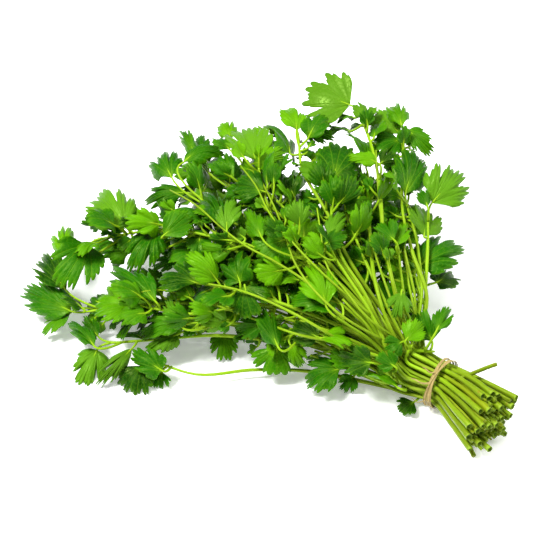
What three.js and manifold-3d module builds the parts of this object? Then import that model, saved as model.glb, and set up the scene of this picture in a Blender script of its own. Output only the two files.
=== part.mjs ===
// Coriander bunch, lying on its side: cut leafy stems held by a raffia tie near their cut ends.
// Millimetres, +Z up, +X along the bunch toward the cut ends, leaves toward -X.
// Everything is laid out from the table point under the middle of the tie, and at the end the
// whole bunch is moved so that the origin is the bottom centre of its box.
import * as THREE from "three";
import Module from "manifold-3d";

const wasm = await Module();
wasm.setup();

// Tie
const tieInside = 15.0;
const tieThick = 1.3;
const tieGroove = 0.5;
const strandWide = 2.7;
const strandSway = 0.8;
const tieSteps = 20;
const tieOutside = tieInside + tieThick;
const crossingTurn = 35;

// Stems
const stemSides = 5;
const stemPitch = 3.7;
const stemRadius = { cut: 2.3, tie: 1.6, upper: 1.25, tip: 0.8 };
const stemGap = 0.4;
const flare = { sideways: 1.62, upward: 1.38, drift: -14, rise: 19.5 };
const cutLength = { least: 40, most: 52, slope: 9, rim: 13 };

// Leaves
const bladeThick = 0.84;
const stalkHalf = { across: 0.75, deep: 0.55 };
const bigLeaf = 23;
const bladeFloor = 0.45;

// Room kept between one leafy stem and the next, on a grid of small cells
const cell = 1.5;
const bladeReach = 1.7;
const stemReach = 1.5;
const leafStep = 100;
const meetingReach = 5;
const gridLow = { x: -330, y: -170, z: -6 };
const gridCells = { x: 270, y: 230, z: 92 };

// Settling of the stems
const settleRounds = 70;

// The photograph's view: where the eye stands, so that a place in the picture and its height
// above the table give a point in space
const eye = { turn: 35, drop: 42, reach: 1100, focal: 1774, middle: 266.5 };
const tieSeen = { col: 440, row: 383, lift: tieOutside };

const radians = THREE.MathUtils.degToRad;
const vector = (x, y, z) => new THREE.Vector3(x, y, z);
const mix = (a, b, t) => a + (b - a) * t;

const lookRight = vector(Math.cos(radians(eye.turn)), Math.sin(radians(eye.turn)), 0);
const lookAhead = vector(
  -Math.sin(radians(eye.turn)) * Math.cos(radians(eye.drop)),
  Math.cos(radians(eye.turn)) * Math.cos(radians(eye.drop)),
  -Math.sin(radians(eye.drop)),
);
const lookUp = vector().crossVectors(lookRight, lookAhead);
const eyePlace = vector(0, 0, tieSeen.lift).addScaledVector(lookAlong(tieSeen), -eye.reach);

// Direction from the eye through a place in the picture
function lookAlong({ col, row }) {
  return lookAhead.clone()
    .addScaledVector(lookRight, (col - eye.middle) / eye.focal)
    .addScaledVector(lookUp, (eye.middle - row) / eye.focal);
}

// The point in space at a place in the picture, lift millimetres above the table
function seenAt(place) {
  const along = lookAlong(place);
  return eyePlace.clone().addScaledVector(along, (place.lift - eyePlace.z) / along.z);
}

// Random numbers from 0 to 1 that are the same on every run
function seeded(seed) {
  let state = seed >>> 0;
  return () => {
    state = (state + 0x6d2b79f5) >>> 0;
    let mixed = Math.imul(state ^ (state >>> 15), state | 1);
    mixed ^= mixed + Math.imul(mixed ^ (mixed >>> 7), mixed | 61);
    return ((mixed ^ (mixed >>> 14)) >>> 0) / 4294967296;
  };
}

// The leafy stems that the photograph shows. through: places its stem passes, from the tie
// outward. leaves: the end leaf first, each from its base to its tip, and how wide it is.
const seenSprigs = [
  // Dark lobed leaf at the far left, with the big bright leaf halfway
  {
    through: [
      { col: 310, row: 275, lift: 46 },
      { col: 215, row: 240, lift: 52 },
      { col: 137, row: 230, lift: 50 },
    ],
    leaves: [
      { base: { col: 89, row: 245, lift: 44 }, tip: { col: 62, row: 286, lift: 36 }, wide: 36 },
      { base: { col: 126, row: 227, lift: 54 }, tip: { col: 97, row: 193, lift: 56 }, wide: 36 },
      { base: { col: 150, row: 231, lift: 54 }, tip: { col: 127, row: 205, lift: 62 }, wide: 14 },
      { base: { col: 66, row: 256, lift: 42 }, tip: { col: 57, row: 223, lift: 44 }, wide: 19 },
    ],
  },
  // Outermost tip on the left
  {
    through: [
      { col: 290, row: 310, lift: 30 },
      { col: 168, row: 303, lift: 30 },
      { col: 110, row: 309, lift: 24 },
    ],
    leaves: [
      { base: { col: 71, row: 311, lift: 20 }, tip: { col: 19, row: 288, lift: 16 }, wide: 24 },
      { base: { col: 70, row: 313, lift: 16 }, tip: { col: 43, row: 335, lift: 6 }, wide: 18 },
      { base: { col: 66, row: 290, lift: 28 }, tip: { col: 40, row: 256, lift: 30 }, wide: 24 },
    ],
  },
  // Leaf with the streaks of light
  {
    through: [
      { col: 300, row: 262, lift: 54 },
      { col: 235, row: 243, lift: 60 },
      { col: 175, row: 226, lift: 58 },
    ],
    leaves: [
      { base: { col: 158, row: 232, lift: 56 }, tip: { col: 131, row: 268, lift: 48 }, wide: 27 },
      { base: { col: 163, row: 236, lift: 62 }, tip: { col: 190, row: 214, lift: 68 }, wide: 22 },
      { base: { col: 130, row: 252, lift: 40 }, tip: { col: 92, row: 241, lift: 38 }, wide: 22 },
    ],
  },
  // Lobed leaf in the middle of the left side
  {
    through: [
      { col: 290, row: 320, lift: 34 },
      { col: 230, row: 308, lift: 38 },
      { col: 168, row: 316, lift: 34 },
    ],
    leaves: [
      { base: { col: 133, row: 305, lift: 34 }, tip: { col: 95, row: 306, lift: 30 }, wide: 34 },
      { base: { col: 156, row: 302, lift: 42 }, tip: { col: 112, row: 263, lift: 44 }, wide: 24 },
      { base: { col: 152, row: 309, lift: 30 }, tip: { col: 118, row: 337, lift: 18 }, wide: 17 },
    ],
  },
  // Long low stem whose end leaf bends down to the table
  {
    through: [
      { col: 340, row: 352, lift: 14 },
      { col: 260, row: 341, lift: 16 },
      { col: 190, row: 335, lift: 18 },
      { col: 130, row: 345, lift: 14 },
    ],
    leaves: [
      { base: { col: 97, row: 350, lift: 12 }, tip: { col: 81, row: 386, lift: 1 }, wide: 22 },
      { base: { col: 95, row: 346, lift: 15 }, tip: { col: 70, row: 318, lift: 14 }, wide: 12 },
      { base: { col: 97, row: 337, lift: 20 }, tip: { col: 82, row: 318, lift: 24 }, wide: 13 },
      { base: { col: 133, row: 348, lift: 10 }, tip: { col: 100, row: 382, lift: 3 }, wide: 14 },
    ],
  },
  // Lowest stem along the front
  {
    through: [
      { col: 400, row: 393, lift: 5 },
      { col: 340, row: 374, lift: 6 },
      { col: 262, row: 369, lift: 8 },
      { col: 190, row: 374, lift: 9 },
    ],
    leaves: [
      { base: { col: 143, row: 366, lift: 10 }, tip: { col: 128, row: 393, lift: 1 }, wide: 30 },
      { base: { col: 162, row: 372, lift: 6 }, tip: { col: 157, row: 388, lift: 1 }, wide: 20 },
      { base: { col: 162, row: 370, lift: 12 }, tip: { col: 132, row: 351, lift: 16 }, wide: 18 },
    ],
  },
  // Muted leaves between the lobed leaf and the low stems
  {
    through: [{ col: 300, row: 330, lift: 26 }, { col: 225, row: 322, lift: 28 }],
    leaves: [
      { base: { col: 187, row: 324, lift: 28 }, tip: { col: 140, row: 333, lift: 22 }, wide: 20 },
      { base: { col: 176, row: 335, lift: 22 }, tip: { col: 146, row: 350, lift: 17 }, wide: 14 },
      { base: { col: 180, row: 324, lift: 34 }, tip: { col: 168, row: 298, lift: 38 }, wide: 14 },
    ],
  },
  // Arching leaves at the upper left
  {
    through: [{ col: 290, row: 250, lift: 58 }, { col: 215, row: 214, lift: 62 }],
    leaves: [
      { base: { col: 186, row: 193, lift: 64 }, tip: { col: 143, row: 199, lift: 58 }, wide: 22 },
      { base: { col: 172, row: 178, lift: 66 }, tip: { col: 158, row: 149, lift: 66 }, wide: 26 },
      { base: { col: 184, row: 163, lift: 72 }, tip: { col: 222, row: 147, lift: 74 }, wide: 20 },
    ],
  },
  // Small spiky leaves on the upper edge
  {
    through: [{ col: 330, row: 260, lift: 64 }, { col: 270, row: 205, lift: 70 }],
    leaves: [
      { base: { col: 234, row: 180, lift: 74 }, tip: { col: 211, row: 155, lift: 74 }, wide: 21 },
      { base: { col: 229, row: 149, lift: 76 }, tip: { col: 215, row: 137, lift: 76 }, wide: 15 },
      { base: { col: 203, row: 152, lift: 68 }, tip: { col: 199, row: 134, lift: 68 }, wide: 13 },
      { base: { col: 197, row: 158, lift: 66 }, tip: { col: 181, row: 128, lift: 66 }, wide: 10 },
    ],
  },
  // Wide arching leaf at the top, on a clear ribbed stem
  {
    through: [
      { col: 350, row: 290, lift: 56 },
      { col: 290, row: 250, lift: 66 },
      { col: 266, row: 200, lift: 76 },
    ],
    leaves: [
      { base: { col: 256, row: 160, lift: 82 }, tip: { col: 240, row: 130, lift: 80 }, wide: 34 },
      { base: { col: 252, row: 164, lift: 84 }, tip: { col: 290, row: 156, lift: 80 }, wide: 22 },
      { base: { col: 231, row: 140, lift: 78 }, tip: { col: 223, row: 119, lift: 78 }, wide: 15 },
      { base: { col: 268, row: 149, lift: 76 }, tip: { col: 262, row: 124, lift: 76 }, wide: 18 },
    ],
  },
  // Curled leaf in the centre of the upper part
  {
    through: [{ col: 345, row: 275, lift: 60 }, { col: 300, row: 225, lift: 68 }],
    leaves: [
      { base: { col: 264, row: 192, lift: 76 }, tip: { col: 234, row: 184, lift: 74 }, wide: 28 },
      { base: { col: 272, row: 184, lift: 66 }, tip: { col: 272, row: 164, lift: 68 }, wide: 18 },
      { base: { col: 286, row: 198, lift: 72 }, tip: { col: 288, row: 178, lift: 74 }, wide: 17 },
    ],
  },
  // Narrow fingered leaves left of the centre
  {
    through: [{ col: 320, row: 272, lift: 58 }, { col: 243, row: 244, lift: 66 }],
    leaves: [
      { base: { col: 224, row: 231, lift: 68 }, tip: { col: 206, row: 183, lift: 72 }, wide: 17 },
      { base: { col: 227, row: 231, lift: 72 }, tip: { col: 231, row: 199, lift: 78 }, wide: 20 },
      { base: { col: 232, row: 250, lift: 58 }, tip: { col: 201, row: 248, lift: 56 }, wide: 20 },
    ],
  },
  // Shaded leaves under them
  {
    through: [{ col: 310, row: 285, lift: 46 }, { col: 240, row: 255, lift: 50 }],
    leaves: [
      { base: { col: 206, row: 226, lift: 58 }, tip: { col: 178, row: 206, lift: 60 }, wide: 20 },
      { base: { col: 200, row: 238, lift: 52 }, tip: { col: 198, row: 258, lift: 46 }, wide: 17 },
      { base: { col: 198, row: 254, lift: 44 }, tip: { col: 168, row: 258, lift: 42 }, wide: 24 },
    ],
  },
  // Shiny wrinkled leaf beside the clear stem
  {
    through: [{ col: 365, row: 315, lift: 48 }, { col: 315, row: 270, lift: 62 }],
    leaves: [
      { base: { col: 284, row: 240, lift: 72 }, tip: { col: 254, row: 250, lift: 68 }, wide: 30 },
      { base: { col: 274, row: 262, lift: 62 }, tip: { col: 247, row: 270, lift: 56 }, wide: 17 },
      { base: { col: 262, row: 238, lift: 74 }, tip: { col: 247, row: 207, lift: 78 }, wide: 15 },
    ],
  },
  // Leaf with the light midrib in the lower middle
  {
    through: [
      { col: 370, row: 340, lift: 34 },
      { col: 290, row: 306, lift: 46 },
      { col: 225, row: 286, lift: 50 },
    ],
    leaves: [
      { base: { col: 197, row: 283, lift: 52 }, tip: { col: 160, row: 276, lift: 48 }, wide: 32 },
      { base: { col: 240, row: 282, lift: 54 }, tip: { col: 236, row: 252, lift: 60 }, wide: 22 },
      { base: { col: 245, row: 286, lift: 50 }, tip: { col: 252, row: 317, lift: 38 }, wide: 29 },
    ],
  },
  // Largest bright leaf of the lower middle
  {
    through: [{ col: 360, row: 345, lift: 28 }, { col: 290, row: 312, lift: 38 }],
    leaves: [
      { base: { col: 236, row: 292, lift: 42 }, tip: { col: 196, row: 325, lift: 26 }, wide: 42 },
      { base: { col: 224, row: 334, lift: 18 }, tip: { col: 223, row: 361, lift: 8 }, wide: 20 },
      { base: { col: 264, row: 324, lift: 32 }, tip: { col: 235, row: 331, lift: 24 }, wide: 18 },
    ],
  },
  // Three lobes hanging at the lower edge
  {
    through: [{ col: 370, row: 350, lift: 24 }, { col: 310, row: 332, lift: 30 }],
    leaves: [
      { base: { col: 277, row: 347, lift: 24 }, tip: { col: 277, row: 375, lift: 12 }, wide: 34 },
      { base: { col: 278, row: 346, lift: 30 }, tip: { col: 260, row: 307, lift: 34 }, wide: 15 },
      { base: { col: 290, row: 344, lift: 30 }, tip: { col: 304, row: 366, lift: 18 }, wide: 14 },
    ],
  },
  // Leaf low at the front, near the tie
  {
    through: [{ col: 390, row: 384, lift: 12 }],
    leaves: [
      { base: { col: 340, row: 369, lift: 18 }, tip: { col: 305, row: 383, lift: 8 }, wide: 27 },
      { base: { col: 352, row: 370, lift: 22 }, tip: { col: 330, row: 352, lift: 28 }, wide: 16 },
      { base: { col: 354, row: 376, lift: 8 }, tip: { col: 342, row: 391, lift: 2 }, wide: 14 },
    ],
  },
  // Largest leaf, at the very top
  {
    through: [
      { col: 395, row: 290, lift: 58 },
      { col: 383, row: 230, lift: 72 },
      { col: 378, row: 170, lift: 84 },
      { col: 364, row: 124, lift: 88 },
    ],
    leaves: [
      { base: { col: 350, row: 105, lift: 92 }, tip: { col: 305, row: 92, lift: 92 }, wide: 42 },
      { base: { col: 376, row: 164, lift: 85 }, tip: { col: 348, row: 157, lift: 87 }, wide: 13 },
      { base: { col: 380, row: 164, lift: 85 }, tip: { col: 395, row: 152, lift: 90 }, wide: 14 },
      { base: { col: 367, row: 124, lift: 88 }, tip: { col: 361, row: 102, lift: 90 }, wide: 18 },
    ],
  },
  // Hooked stem with two bright leaves at the top
  {
    through: [
      { col: 350, row: 260, lift: 62 },
      { col: 320, row: 197, lift: 76 },
      { col: 298, row: 160, lift: 84 },
    ],
    leaves: [
      { base: { col: 297, row: 130, lift: 86 }, tip: { col: 288, row: 107, lift: 86 }, wide: 20 },
      { base: { col: 303, row: 127, lift: 86 }, tip: { col: 333, row: 136, lift: 86 }, wide: 19 },
      { base: { col: 290, row: 153, lift: 82 }, tip: { col: 268, row: 128, lift: 80 }, wide: 25 },
    ],
  },
  // Leaf with the strong highlight
  {
    through: [{ col: 362, row: 290, lift: 58 }, { col: 334, row: 240, lift: 72 }],
    leaves: [
      { base: { col: 334, row: 177, lift: 86 }, tip: { col: 342, row: 142, lift: 88 }, wide: 31 },
      { base: { col: 322, row: 190, lift: 80 }, tip: { col: 305, row: 157, lift: 82 }, wide: 20 },
      { base: { col: 328, row: 198, lift: 80 }, tip: { col: 352, row: 188, lift: 84 }, wide: 13 },
    ],
  },
  // Dark and pale fingers at the top right, with one leaf arching over to the right
  {
    through: [{ col: 424, row: 300, lift: 46 }, { col: 402, row: 225, lift: 68 }],
    leaves: [
      { base: { col: 400, row: 134, lift: 84 }, tip: { col: 374, row: 112, lift: 84 }, wide: 26 },
      { base: { col: 401, row: 128, lift: 88 }, tip: { col: 393, row: 103, lift: 90 }, wide: 18 },
      { base: { col: 408, row: 130, lift: 88 }, tip: { col: 431, row: 152, lift: 82 }, wide: 16 },
      { base: { col: 400, row: 140, lift: 82 }, tip: { col: 376, row: 152, lift: 80 }, wide: 22 },
    ],
  },
  // Big leaf hanging behind the thick pair of stems
  {
    through: [{ col: 424, row: 305, lift: 44 }, { col: 416, row: 235, lift: 62 }],
    leaves: [
      { base: { col: 405, row: 194, lift: 76 }, tip: { col: 411, row: 147, lift: 84 }, wide: 26 },
      { base: { col: 402, row: 200, lift: 72 }, tip: { col: 382, row: 196, lift: 74 }, wide: 16 },
    ],
  },
  // Leaf beside the stem of the top leaf
  {
    through: [{ col: 380, row: 300, lift: 54 }, { col: 370, row: 230, lift: 66 }],
    leaves: [
      { base: { col: 366, row: 168, lift: 78 }, tip: { col: 348, row: 134, lift: 80 }, wide: 24 },
      { base: { col: 366, row: 192, lift: 72 }, tip: { col: 348, row: 174, lift: 74 }, wide: 21 },
    ],
  },
  // Pale veined leaf on the right
  {
    through: [{ col: 423, row: 305, lift: 42 }, { col: 427, row: 245, lift: 60 }],
    leaves: [
      { base: { col: 432, row: 203, lift: 76 }, tip: { col: 461, row: 168, lift: 86 }, wide: 34 },
      { base: { col: 427, row: 207, lift: 76 }, tip: { col: 419, row: 190, lift: 80 }, wide: 11 },
      { base: { col: 424, row: 236, lift: 64 }, tip: { col: 421, row: 206, lift: 70 }, wide: 27 },
    ],
  },
  // Bright three-lobed leaf under it
  {
    through: [{ col: 430, row: 330, lift: 34 }],
    leaves: [
      { base: { col: 420, row: 267, lift: 54 }, tip: { col: 462, row: 240, lift: 58 }, wide: 28 },
      { base: { col: 416, row: 266, lift: 58 }, tip: { col: 404, row: 237, lift: 66 }, wide: 20 },
      { base: { col: 414, row: 271, lift: 52 }, tip: { col: 395, row: 291, lift: 46 }, wide: 20 },
    ],
  },
  // Small narrow leaves over the bare stems of the middle
  {
    through: [{ col: 372, row: 315, lift: 50 }],
    leaves: [
      { base: { col: 322, row: 245, lift: 75 }, tip: { col: 301, row: 238, lift: 76 }, wide: 14 },
      { base: { col: 325, row: 244, lift: 77 }, tip: { col: 346, row: 233, lift: 81 }, wide: 14 },
      { base: { col: 329, row: 238, lift: 75 }, tip: { col: 342, row: 210, lift: 80 }, wide: 14 },
    ],
  },
  {
    through: [{ col: 388, row: 310, lift: 48 }, { col: 356, row: 240, lift: 66 }],
    leaves: [
      { base: { col: 344, row: 198, lift: 74 }, tip: { col: 336, row: 176, lift: 78 }, wide: 15 },
      { base: { col: 348, row: 200, lift: 76 }, tip: { col: 369, row: 217, lift: 74 }, wide: 20 },
    ],
  },
  // Greyish leaf near the top leaf's stem
  {
    through: [{ col: 405, row: 300, lift: 48 }],
    leaves: [
      { base: { col: 393, row: 240, lift: 68 }, tip: { col: 376, row: 225, lift: 71 }, wide: 22 },
      { base: { col: 396, row: 246, lift: 66 }, tip: { col: 403, row: 224, lift: 70 }, wide: 15 },
    ],
  },
  // Bright leaves in front of the bare stems
  {
    through: [{ col: 378, row: 345, lift: 34 }],
    leaves: [
      { base: { col: 326, row: 306, lift: 58 }, tip: { col: 310, row: 262, lift: 70 }, wide: 27 },
      { base: { col: 338, row: 303, lift: 57 }, tip: { col: 292, row: 301, lift: 52 }, wide: 22 },
    ],
  },
  {
    through: [{ col: 414, row: 335, lift: 34 }],
    leaves: [
      { base: { col: 386, row: 291, lift: 53 }, tip: { col: 373, row: 314, lift: 47 }, wide: 20 },
      { base: { col: 400, row: 292, lift: 52 }, tip: { col: 396, row: 316, lift: 45 }, wide: 18 },
    ],
  },
  // Pale leaf and a small sprig on the right of the bundle
  {
    through: [],
    leaves: [
      { base: { col: 432, row: 341, lift: 36 }, tip: { col: 420, row: 311, lift: 48 }, wide: 20 },
      { base: { col: 434, row: 330, lift: 36 }, tip: { col: 446, row: 306, lift: 42 }, wide: 14 },
    ],
  },
  // Bright bent leaf above the low stems
  {
    through: [{ col: 392, row: 362, lift: 26 }],
    leaves: [
      { base: { col: 318, row: 337, lift: 38 }, tip: { col: 291, row: 326, lift: 38 }, wide: 19 },
      { base: { col: 322, row: 338, lift: 42 }, tip: { col: 352, row: 343, lift: 40 }, wide: 24 },
      { base: { col: 352, row: 340, lift: 38 }, tip: { col: 357, row: 320, lift: 44 }, wide: 17 },
    ],
  },
  // Curled pair in front of the tie
  {
    through: [],
    leaves: [
      { base: { col: 402, row: 342, lift: 40 }, tip: { col: 386, row: 351, lift: 37 }, wide: 17 },
      { base: { col: 406, row: 340, lift: 42 }, tip: { col: 421, row: 321, lift: 48 }, wide: 18 },
    ],
  },
  // Muted leaves low beside the bundle
  {
    through: [],
    leaves: [
      { base: { col: 370, row: 362, lift: 28 }, tip: { col: 338, row: 357, lift: 25 }, wide: 20 },
      { base: { col: 394, row: 366, lift: 32 }, tip: { col: 377, row: 354, lift: 35 }, wide: 14 },
    ],
  },
  {
    through: [],
    leaves: [
      { base: { col: 396, row: 386, lift: 14 }, tip: { col: 363, row: 371, lift: 14 }, wide: 20 },
      { base: { col: 414, row: 402, lift: 5 }, tip: { col: 400, row: 412, lift: 2 }, wide: 18 },
    ],
  },
];

// Leafy stems that the photograph hides, at the back, inside and underneath: each by its
// direction from the tie, in degrees from -X toward +Y, how far it reaches and its height
const hiddenSprigs = [
  { toward: 44, far: 128, lift: 40 },
  { toward: 36, far: 172, lift: 44 },
  { toward: 52, far: 92, lift: 26 },
  { toward: 30, far: 140, lift: 5 },
  { toward: 22, far: 205, lift: 34 },
  { toward: 14, far: 232, lift: 40 },
  { toward: 10, far: 172, lift: 20 },
  { toward: 4, far: 218, lift: 9 },
  { toward: -6, far: 150, lift: 24 },
  { toward: -12, far: 196, lift: 8 },
];
const hiddenLeaves = { long: 27, wide: 30, sideLong: 20, sideWide: 18, spread: 58, back: 16 };

// A point at a distance from the tie in a direction given in degrees
function fromTie(toward, far, lift) {
  return vector(-far * Math.cos(radians(toward)), far * Math.sin(radians(toward)), lift);
}

// Turns one entry of either list into points: the places its stem passes and its leaves
function laidOut(sprig, index) {
  if (sprig.leaves) {
    return {
      through: sprig.through.map(seenAt),
      leaves: sprig.leaves.map(({ base, tip, wide }) => ({
        base: seenAt(base), tip: seenAt(tip), wide,
      })),
    };
  }
  const random = seeded(900 + index);
  const { long, wide, sideLong, sideWide, spread, back } = hiddenLeaves;
  const sag = () => mix(-9, 3, random());
  const end = fromTie(sprig.toward, sprig.far, sprig.lift);
  const ahead = sprig.toward + mix(-14, 14, random());
  const leaf = (base, toward, reach, width) => ({
    base,
    tip: base.clone().add(fromTie(toward, reach, Math.max(sag(), 1 - base.z))),
    wide: width * mix(0.85, 1.1, random()),
  });
  const beside = (turn) => end.clone()
    .add(fromTie(ahead, -back, 0))
    .add(fromTie(ahead + turn, 7, 1));
  return {
    through: [fromTie(sprig.toward * 0.8, sprig.far * 0.55, mix(14, sprig.lift, 0.6))],
    leaves: [
      leaf(end, ahead, long * mix(0.85, 1.15, random()), wide),
      leaf(beside(spread), ahead + spread, sideLong, sideWide),
      leaf(beside(-spread), ahead - spread, sideLong, sideWide),
    ],
  };
}

// Points of a smooth curve through the control points, at the given distances along their chords
function smoothAlong(points, distances) {
  const at = [0];
  for (let k = 1; k < points.length; k += 1) {
    at.push(at[k - 1] + points[k].distanceTo(points[k - 1]));
  }
  const last = points.length - 1;
  const slope = points.map((point, k) => {
    const before = Math.max(k - 1, 0);
    const after = Math.min(k + 1, last);
    return points[after].clone().sub(points[before]).divideScalar(at[after] - at[before]);
  });
  return distances.map((distance) => {
    let k = 0;
    while (k < last - 1 && distance > at[k + 1]) k += 1;
    const span = at[k + 1] - at[k];
    const t = Math.min(Math.max((distance - at[k]) / span, 0), 1);
    const rise = t * t * (3 - 2 * t);
    return points[k].clone().multiplyScalar(1 - rise)
      .addScaledVector(points[k + 1], rise)
      .addScaledVector(slope[k], span * t * (1 - t) * (1 - t))
      .addScaledVector(slope[k + 1], -span * t * t * (1 - t));
  });
}

// Places in the tie's circle, nearest its middle first, in rows from the bottom up
function tieSlots(count) {
  const rowStep = stemPitch * Math.sqrt(3) / 2;
  const all = [];
  for (let row = -5; row <= 5; row += 1) {
    for (let column = -5; column <= 5; column += 1) {
      const y = (column + (row % 2 === 0 ? 0 : 0.5)) * stemPitch;
      all.push({ row, y, z: row * rowStep });
    }
  }
  const reach = ({ y, z }) => Math.hypot(y - 0.2, z + 0.1);
  return all.sort((a, b) => reach(a) - reach(b)).slice(0, count)
    .sort((a, b) => a.row - b.row || a.y - b.y);
}

// Gives each sprig a slot: the highest going ones in the top rows, and each row in order of
// sideways direction, so that the stems cross as little as they can
function giveSlots(sprigs) {
  const slots = tieSlots(sprigs.length);
  const heading = (sprig) => {
    const away = (sprig.through[0] ?? sprig.leaves[0].base).clone();
    return { sideways: away.y / -away.x, upward: (away.z - tieOutside) / Math.hypot(away.x, away.y) };
  };
  const ranked = sprigs.map((sprig) => ({ sprig, ...heading(sprig) }))
    .sort((a, b) => a.upward - b.upward);
  for (let first = 0; first < slots.length;) {
    const { row } = slots[first];
    const rowSlots = slots.filter((slot) => slot.row === row);
    const rowSprigs = ranked.slice(first, first + rowSlots.length)
      .sort((a, b) => a.sideways - b.sideways);
    rowSprigs.forEach(({ sprig }, k) => {
      sprig.slot = rowSlots[k];
    });
    first += rowSlots.length;
  }
}

// The centre line of one stem before settling: cut end, half way, both sides of the tie, then
// out to just short of the end leaf's base
const upperShares = [0, 0.13, 0.3, 0.48, 0.66, 0.84, 1];
const tieHalf = 4;

function firstLine(sprig, index) {
  const random = seeded(100 + index);
  const { y, z } = sprig.slot;
  const inTie = (x, spread) => vector(x, y * spread, tieOutside + z * spread);
  const front = -lookAhead.y * y - lookAhead.z * z;
  const shorter = cutLength.slope * Math.min(Math.max(front / cutLength.rim, 0), 1);
  const length = mix(cutLength.least, cutLength.most, random()) - shorter;
  const cutEnd = vector(
    length,
    y * flare.sideways + flare.drift + mix(-1.5, 1.5, random()),
    Math.max(flare.rise + z * flare.upward + mix(-1.5, 1.5, random()), stemRadius.cut + 0.3),
  );
  const { base, tip } = sprig.leaves[0];
  const last = sprig.through[sprig.through.length - 1] ?? inTie(-tieHalf, 1);
  const onward = tip.clone().sub(base).normalize().add(base.clone().sub(last).normalize());
  const end = base.clone().addScaledVector(onward.normalize(), -7);
  const bundled = inTie(-22, 1.12);
  const points = [inTie(-tieHalf, 1), bundled, ...sprig.through, end];
  let total = 0;
  for (let k = 1; k < points.length; k += 1) total += points[k].distanceTo(points[k - 1]);
  const upper = smoothAlong(points, upperShares.map((share) => share * total));
  const half = cutEnd.clone().lerp(inTie(tieHalf, 1), 0.5);
  half.z += 0.8;
  return [cutEnd, half, inTie(tieHalf, 1), ...upper];
}

// Radius of a stem at each point of its line
function lineRadii(line) {
  const { cut, tie, upper, tip } = stemRadius;
  const last = line.length - 1;
  return line.map((point, k) => {
    if (k === 0) return cut;
    if (k === 1) return mix(cut, tie, 0.5);
    if (k <= 3) return tie;
    const share = (k - 3) / (last - 3);
    return share < 0.6 ? mix(tie, upper, share / 0.6) : mix(upper, tip, (share - 0.6) / 0.4);
  });
}

// How near two straight pieces come: their distance and where on each
function nearest(a, b, c, d) {
  const ab = b.clone().sub(a);
  const cd = d.clone().sub(c);
  const ca = a.clone().sub(c);
  const abab = ab.dot(ab);
  const cdcd = cd.dot(cd);
  const abcd = ab.dot(cd);
  const abca = ab.dot(ca);
  const cdca = cd.dot(ca);
  const area = Math.max(abab * cdcd - abcd * abcd, 1e-9);
  const within = (t) => Math.min(Math.max(t, 0), 1);
  let s = within((abcd * cdca - cdcd * abca) / area);
  const t = within((abcd * s + cdca) / cdcd);
  s = within((abcd * t - abca) / abab);
  const gap = ca.addScaledVector(ab, s).addScaledVector(cd, -t);
  return { s, t, gap, distance: gap.length() };
}

// All pairs of pieces of different stems that might touch
function closePairs(lines, margin) {
  const pieces = [];
  lines.forEach((line, stem) => {
    for (let k = 0; k + 1 < line.length; k += 1) {
      const middle = line[k].clone().add(line[k + 1]).multiplyScalar(0.5);
      pieces.push({ stem, k, middle, half: line[k].distanceTo(line[k + 1]) / 2 });
    }
  });
  const pairs = [];
  pieces.forEach((one, i) => {
    for (let j = i + 1; j < pieces.length; j += 1) {
      const other = pieces[j];
      const reach = one.half + other.half + margin;
      if (one.stem !== other.stem && one.middle.distanceToSquared(other.middle) < reach * reach) {
        pairs.push([one, other]);
      }
    }
  });
  return pairs;
}

// Settles the stems: each pair that comes too close is pushed apart, the shifts are evened out
// along each stem, and nothing goes below the table or leaves its place in the tie
const pushShare = 0.4;
const pushMost = 1.2;
const evenShare = 0.3;
const pairMargin = 9;
const pairEvery = 10;

function settle(lines, radii) {
  const homes = lines.map((line) => line.map((point) => point.clone()));
  let pairs = [];
  for (let round = 0; round < settleRounds; round += 1) {
    if (round % pairEvery === 0) pairs = closePairs(lines, pairMargin);
    const shifts = lines.map((line) => line.map(() => vector()));
    pairs.forEach(([one, other]) => {
      const [p, q] = [lines[one.stem], lines[other.stem]];
      const near = nearest(p[one.k], p[one.k + 1], q[other.k], q[other.k + 1]);
      const room = mix(radii[one.stem][one.k], radii[one.stem][one.k + 1], near.s)
        + mix(radii[other.stem][other.k], radii[other.stem][other.k + 1], near.t) + stemGap;
      if (near.distance >= room) return;
      const push = near.gap.multiplyScalar(pushShare * (room / Math.max(near.distance, 0.2) - 1));
      push.clampLength(0, pushMost);
      shifts[one.stem][one.k].addScaledVector(push, 1 - near.s);
      shifts[one.stem][one.k + 1].addScaledVector(push, near.s);
      shifts[other.stem][other.k].addScaledVector(push, near.t - 1);
      shifts[other.stem][other.k + 1].addScaledVector(push, -near.t);
    });
    lines.forEach((line, stem) => moveLine(line, homes[stem], shifts[stem], radii[stem]));
  }
}

// Moves one line by its shifts, evens it out and keeps it above the table
function moveLine(line, home, shifts, radii) {
  const last = line.length - 1;
  const moved = line.map((point, k) => point.clone().add(shifts[k]).sub(home[k]));
  line.forEach((point, k) => {
    if (k === 2 || k === 3) return;
    const shift = moved[k].clone();
    if (k > 3 && k < last) {
      const around = moved[k - 1].clone().add(moved[k + 1]).multiplyScalar(0.5);
      shift.lerp(around, evenShare);
    }
    point.copy(home[k]).add(shift);
    point.z = Math.max(point.z, radii[k] + 0.25);
  });
}

// Thins each stem wherever a neighbour leaves it less room than it would like
function thinWhereTight(lines, radii) {
  closePairs(lines, pairMargin).forEach(([one, other]) => {
    const [p, q] = [lines[one.stem], lines[other.stem]];
    const near = nearest(p[one.k], p[one.k + 1], q[other.k], q[other.k + 1]);
    const most = (near.distance - stemGap + 0.1) / 2;
    [[one, near.s], [other, near.t]].forEach(([{ stem, k }]) => {
      radii[stem][k] = Math.min(radii[stem][k], most);
      radii[stem][k + 1] = Math.min(radii[stem][k + 1], most);
    });
  });
}

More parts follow.
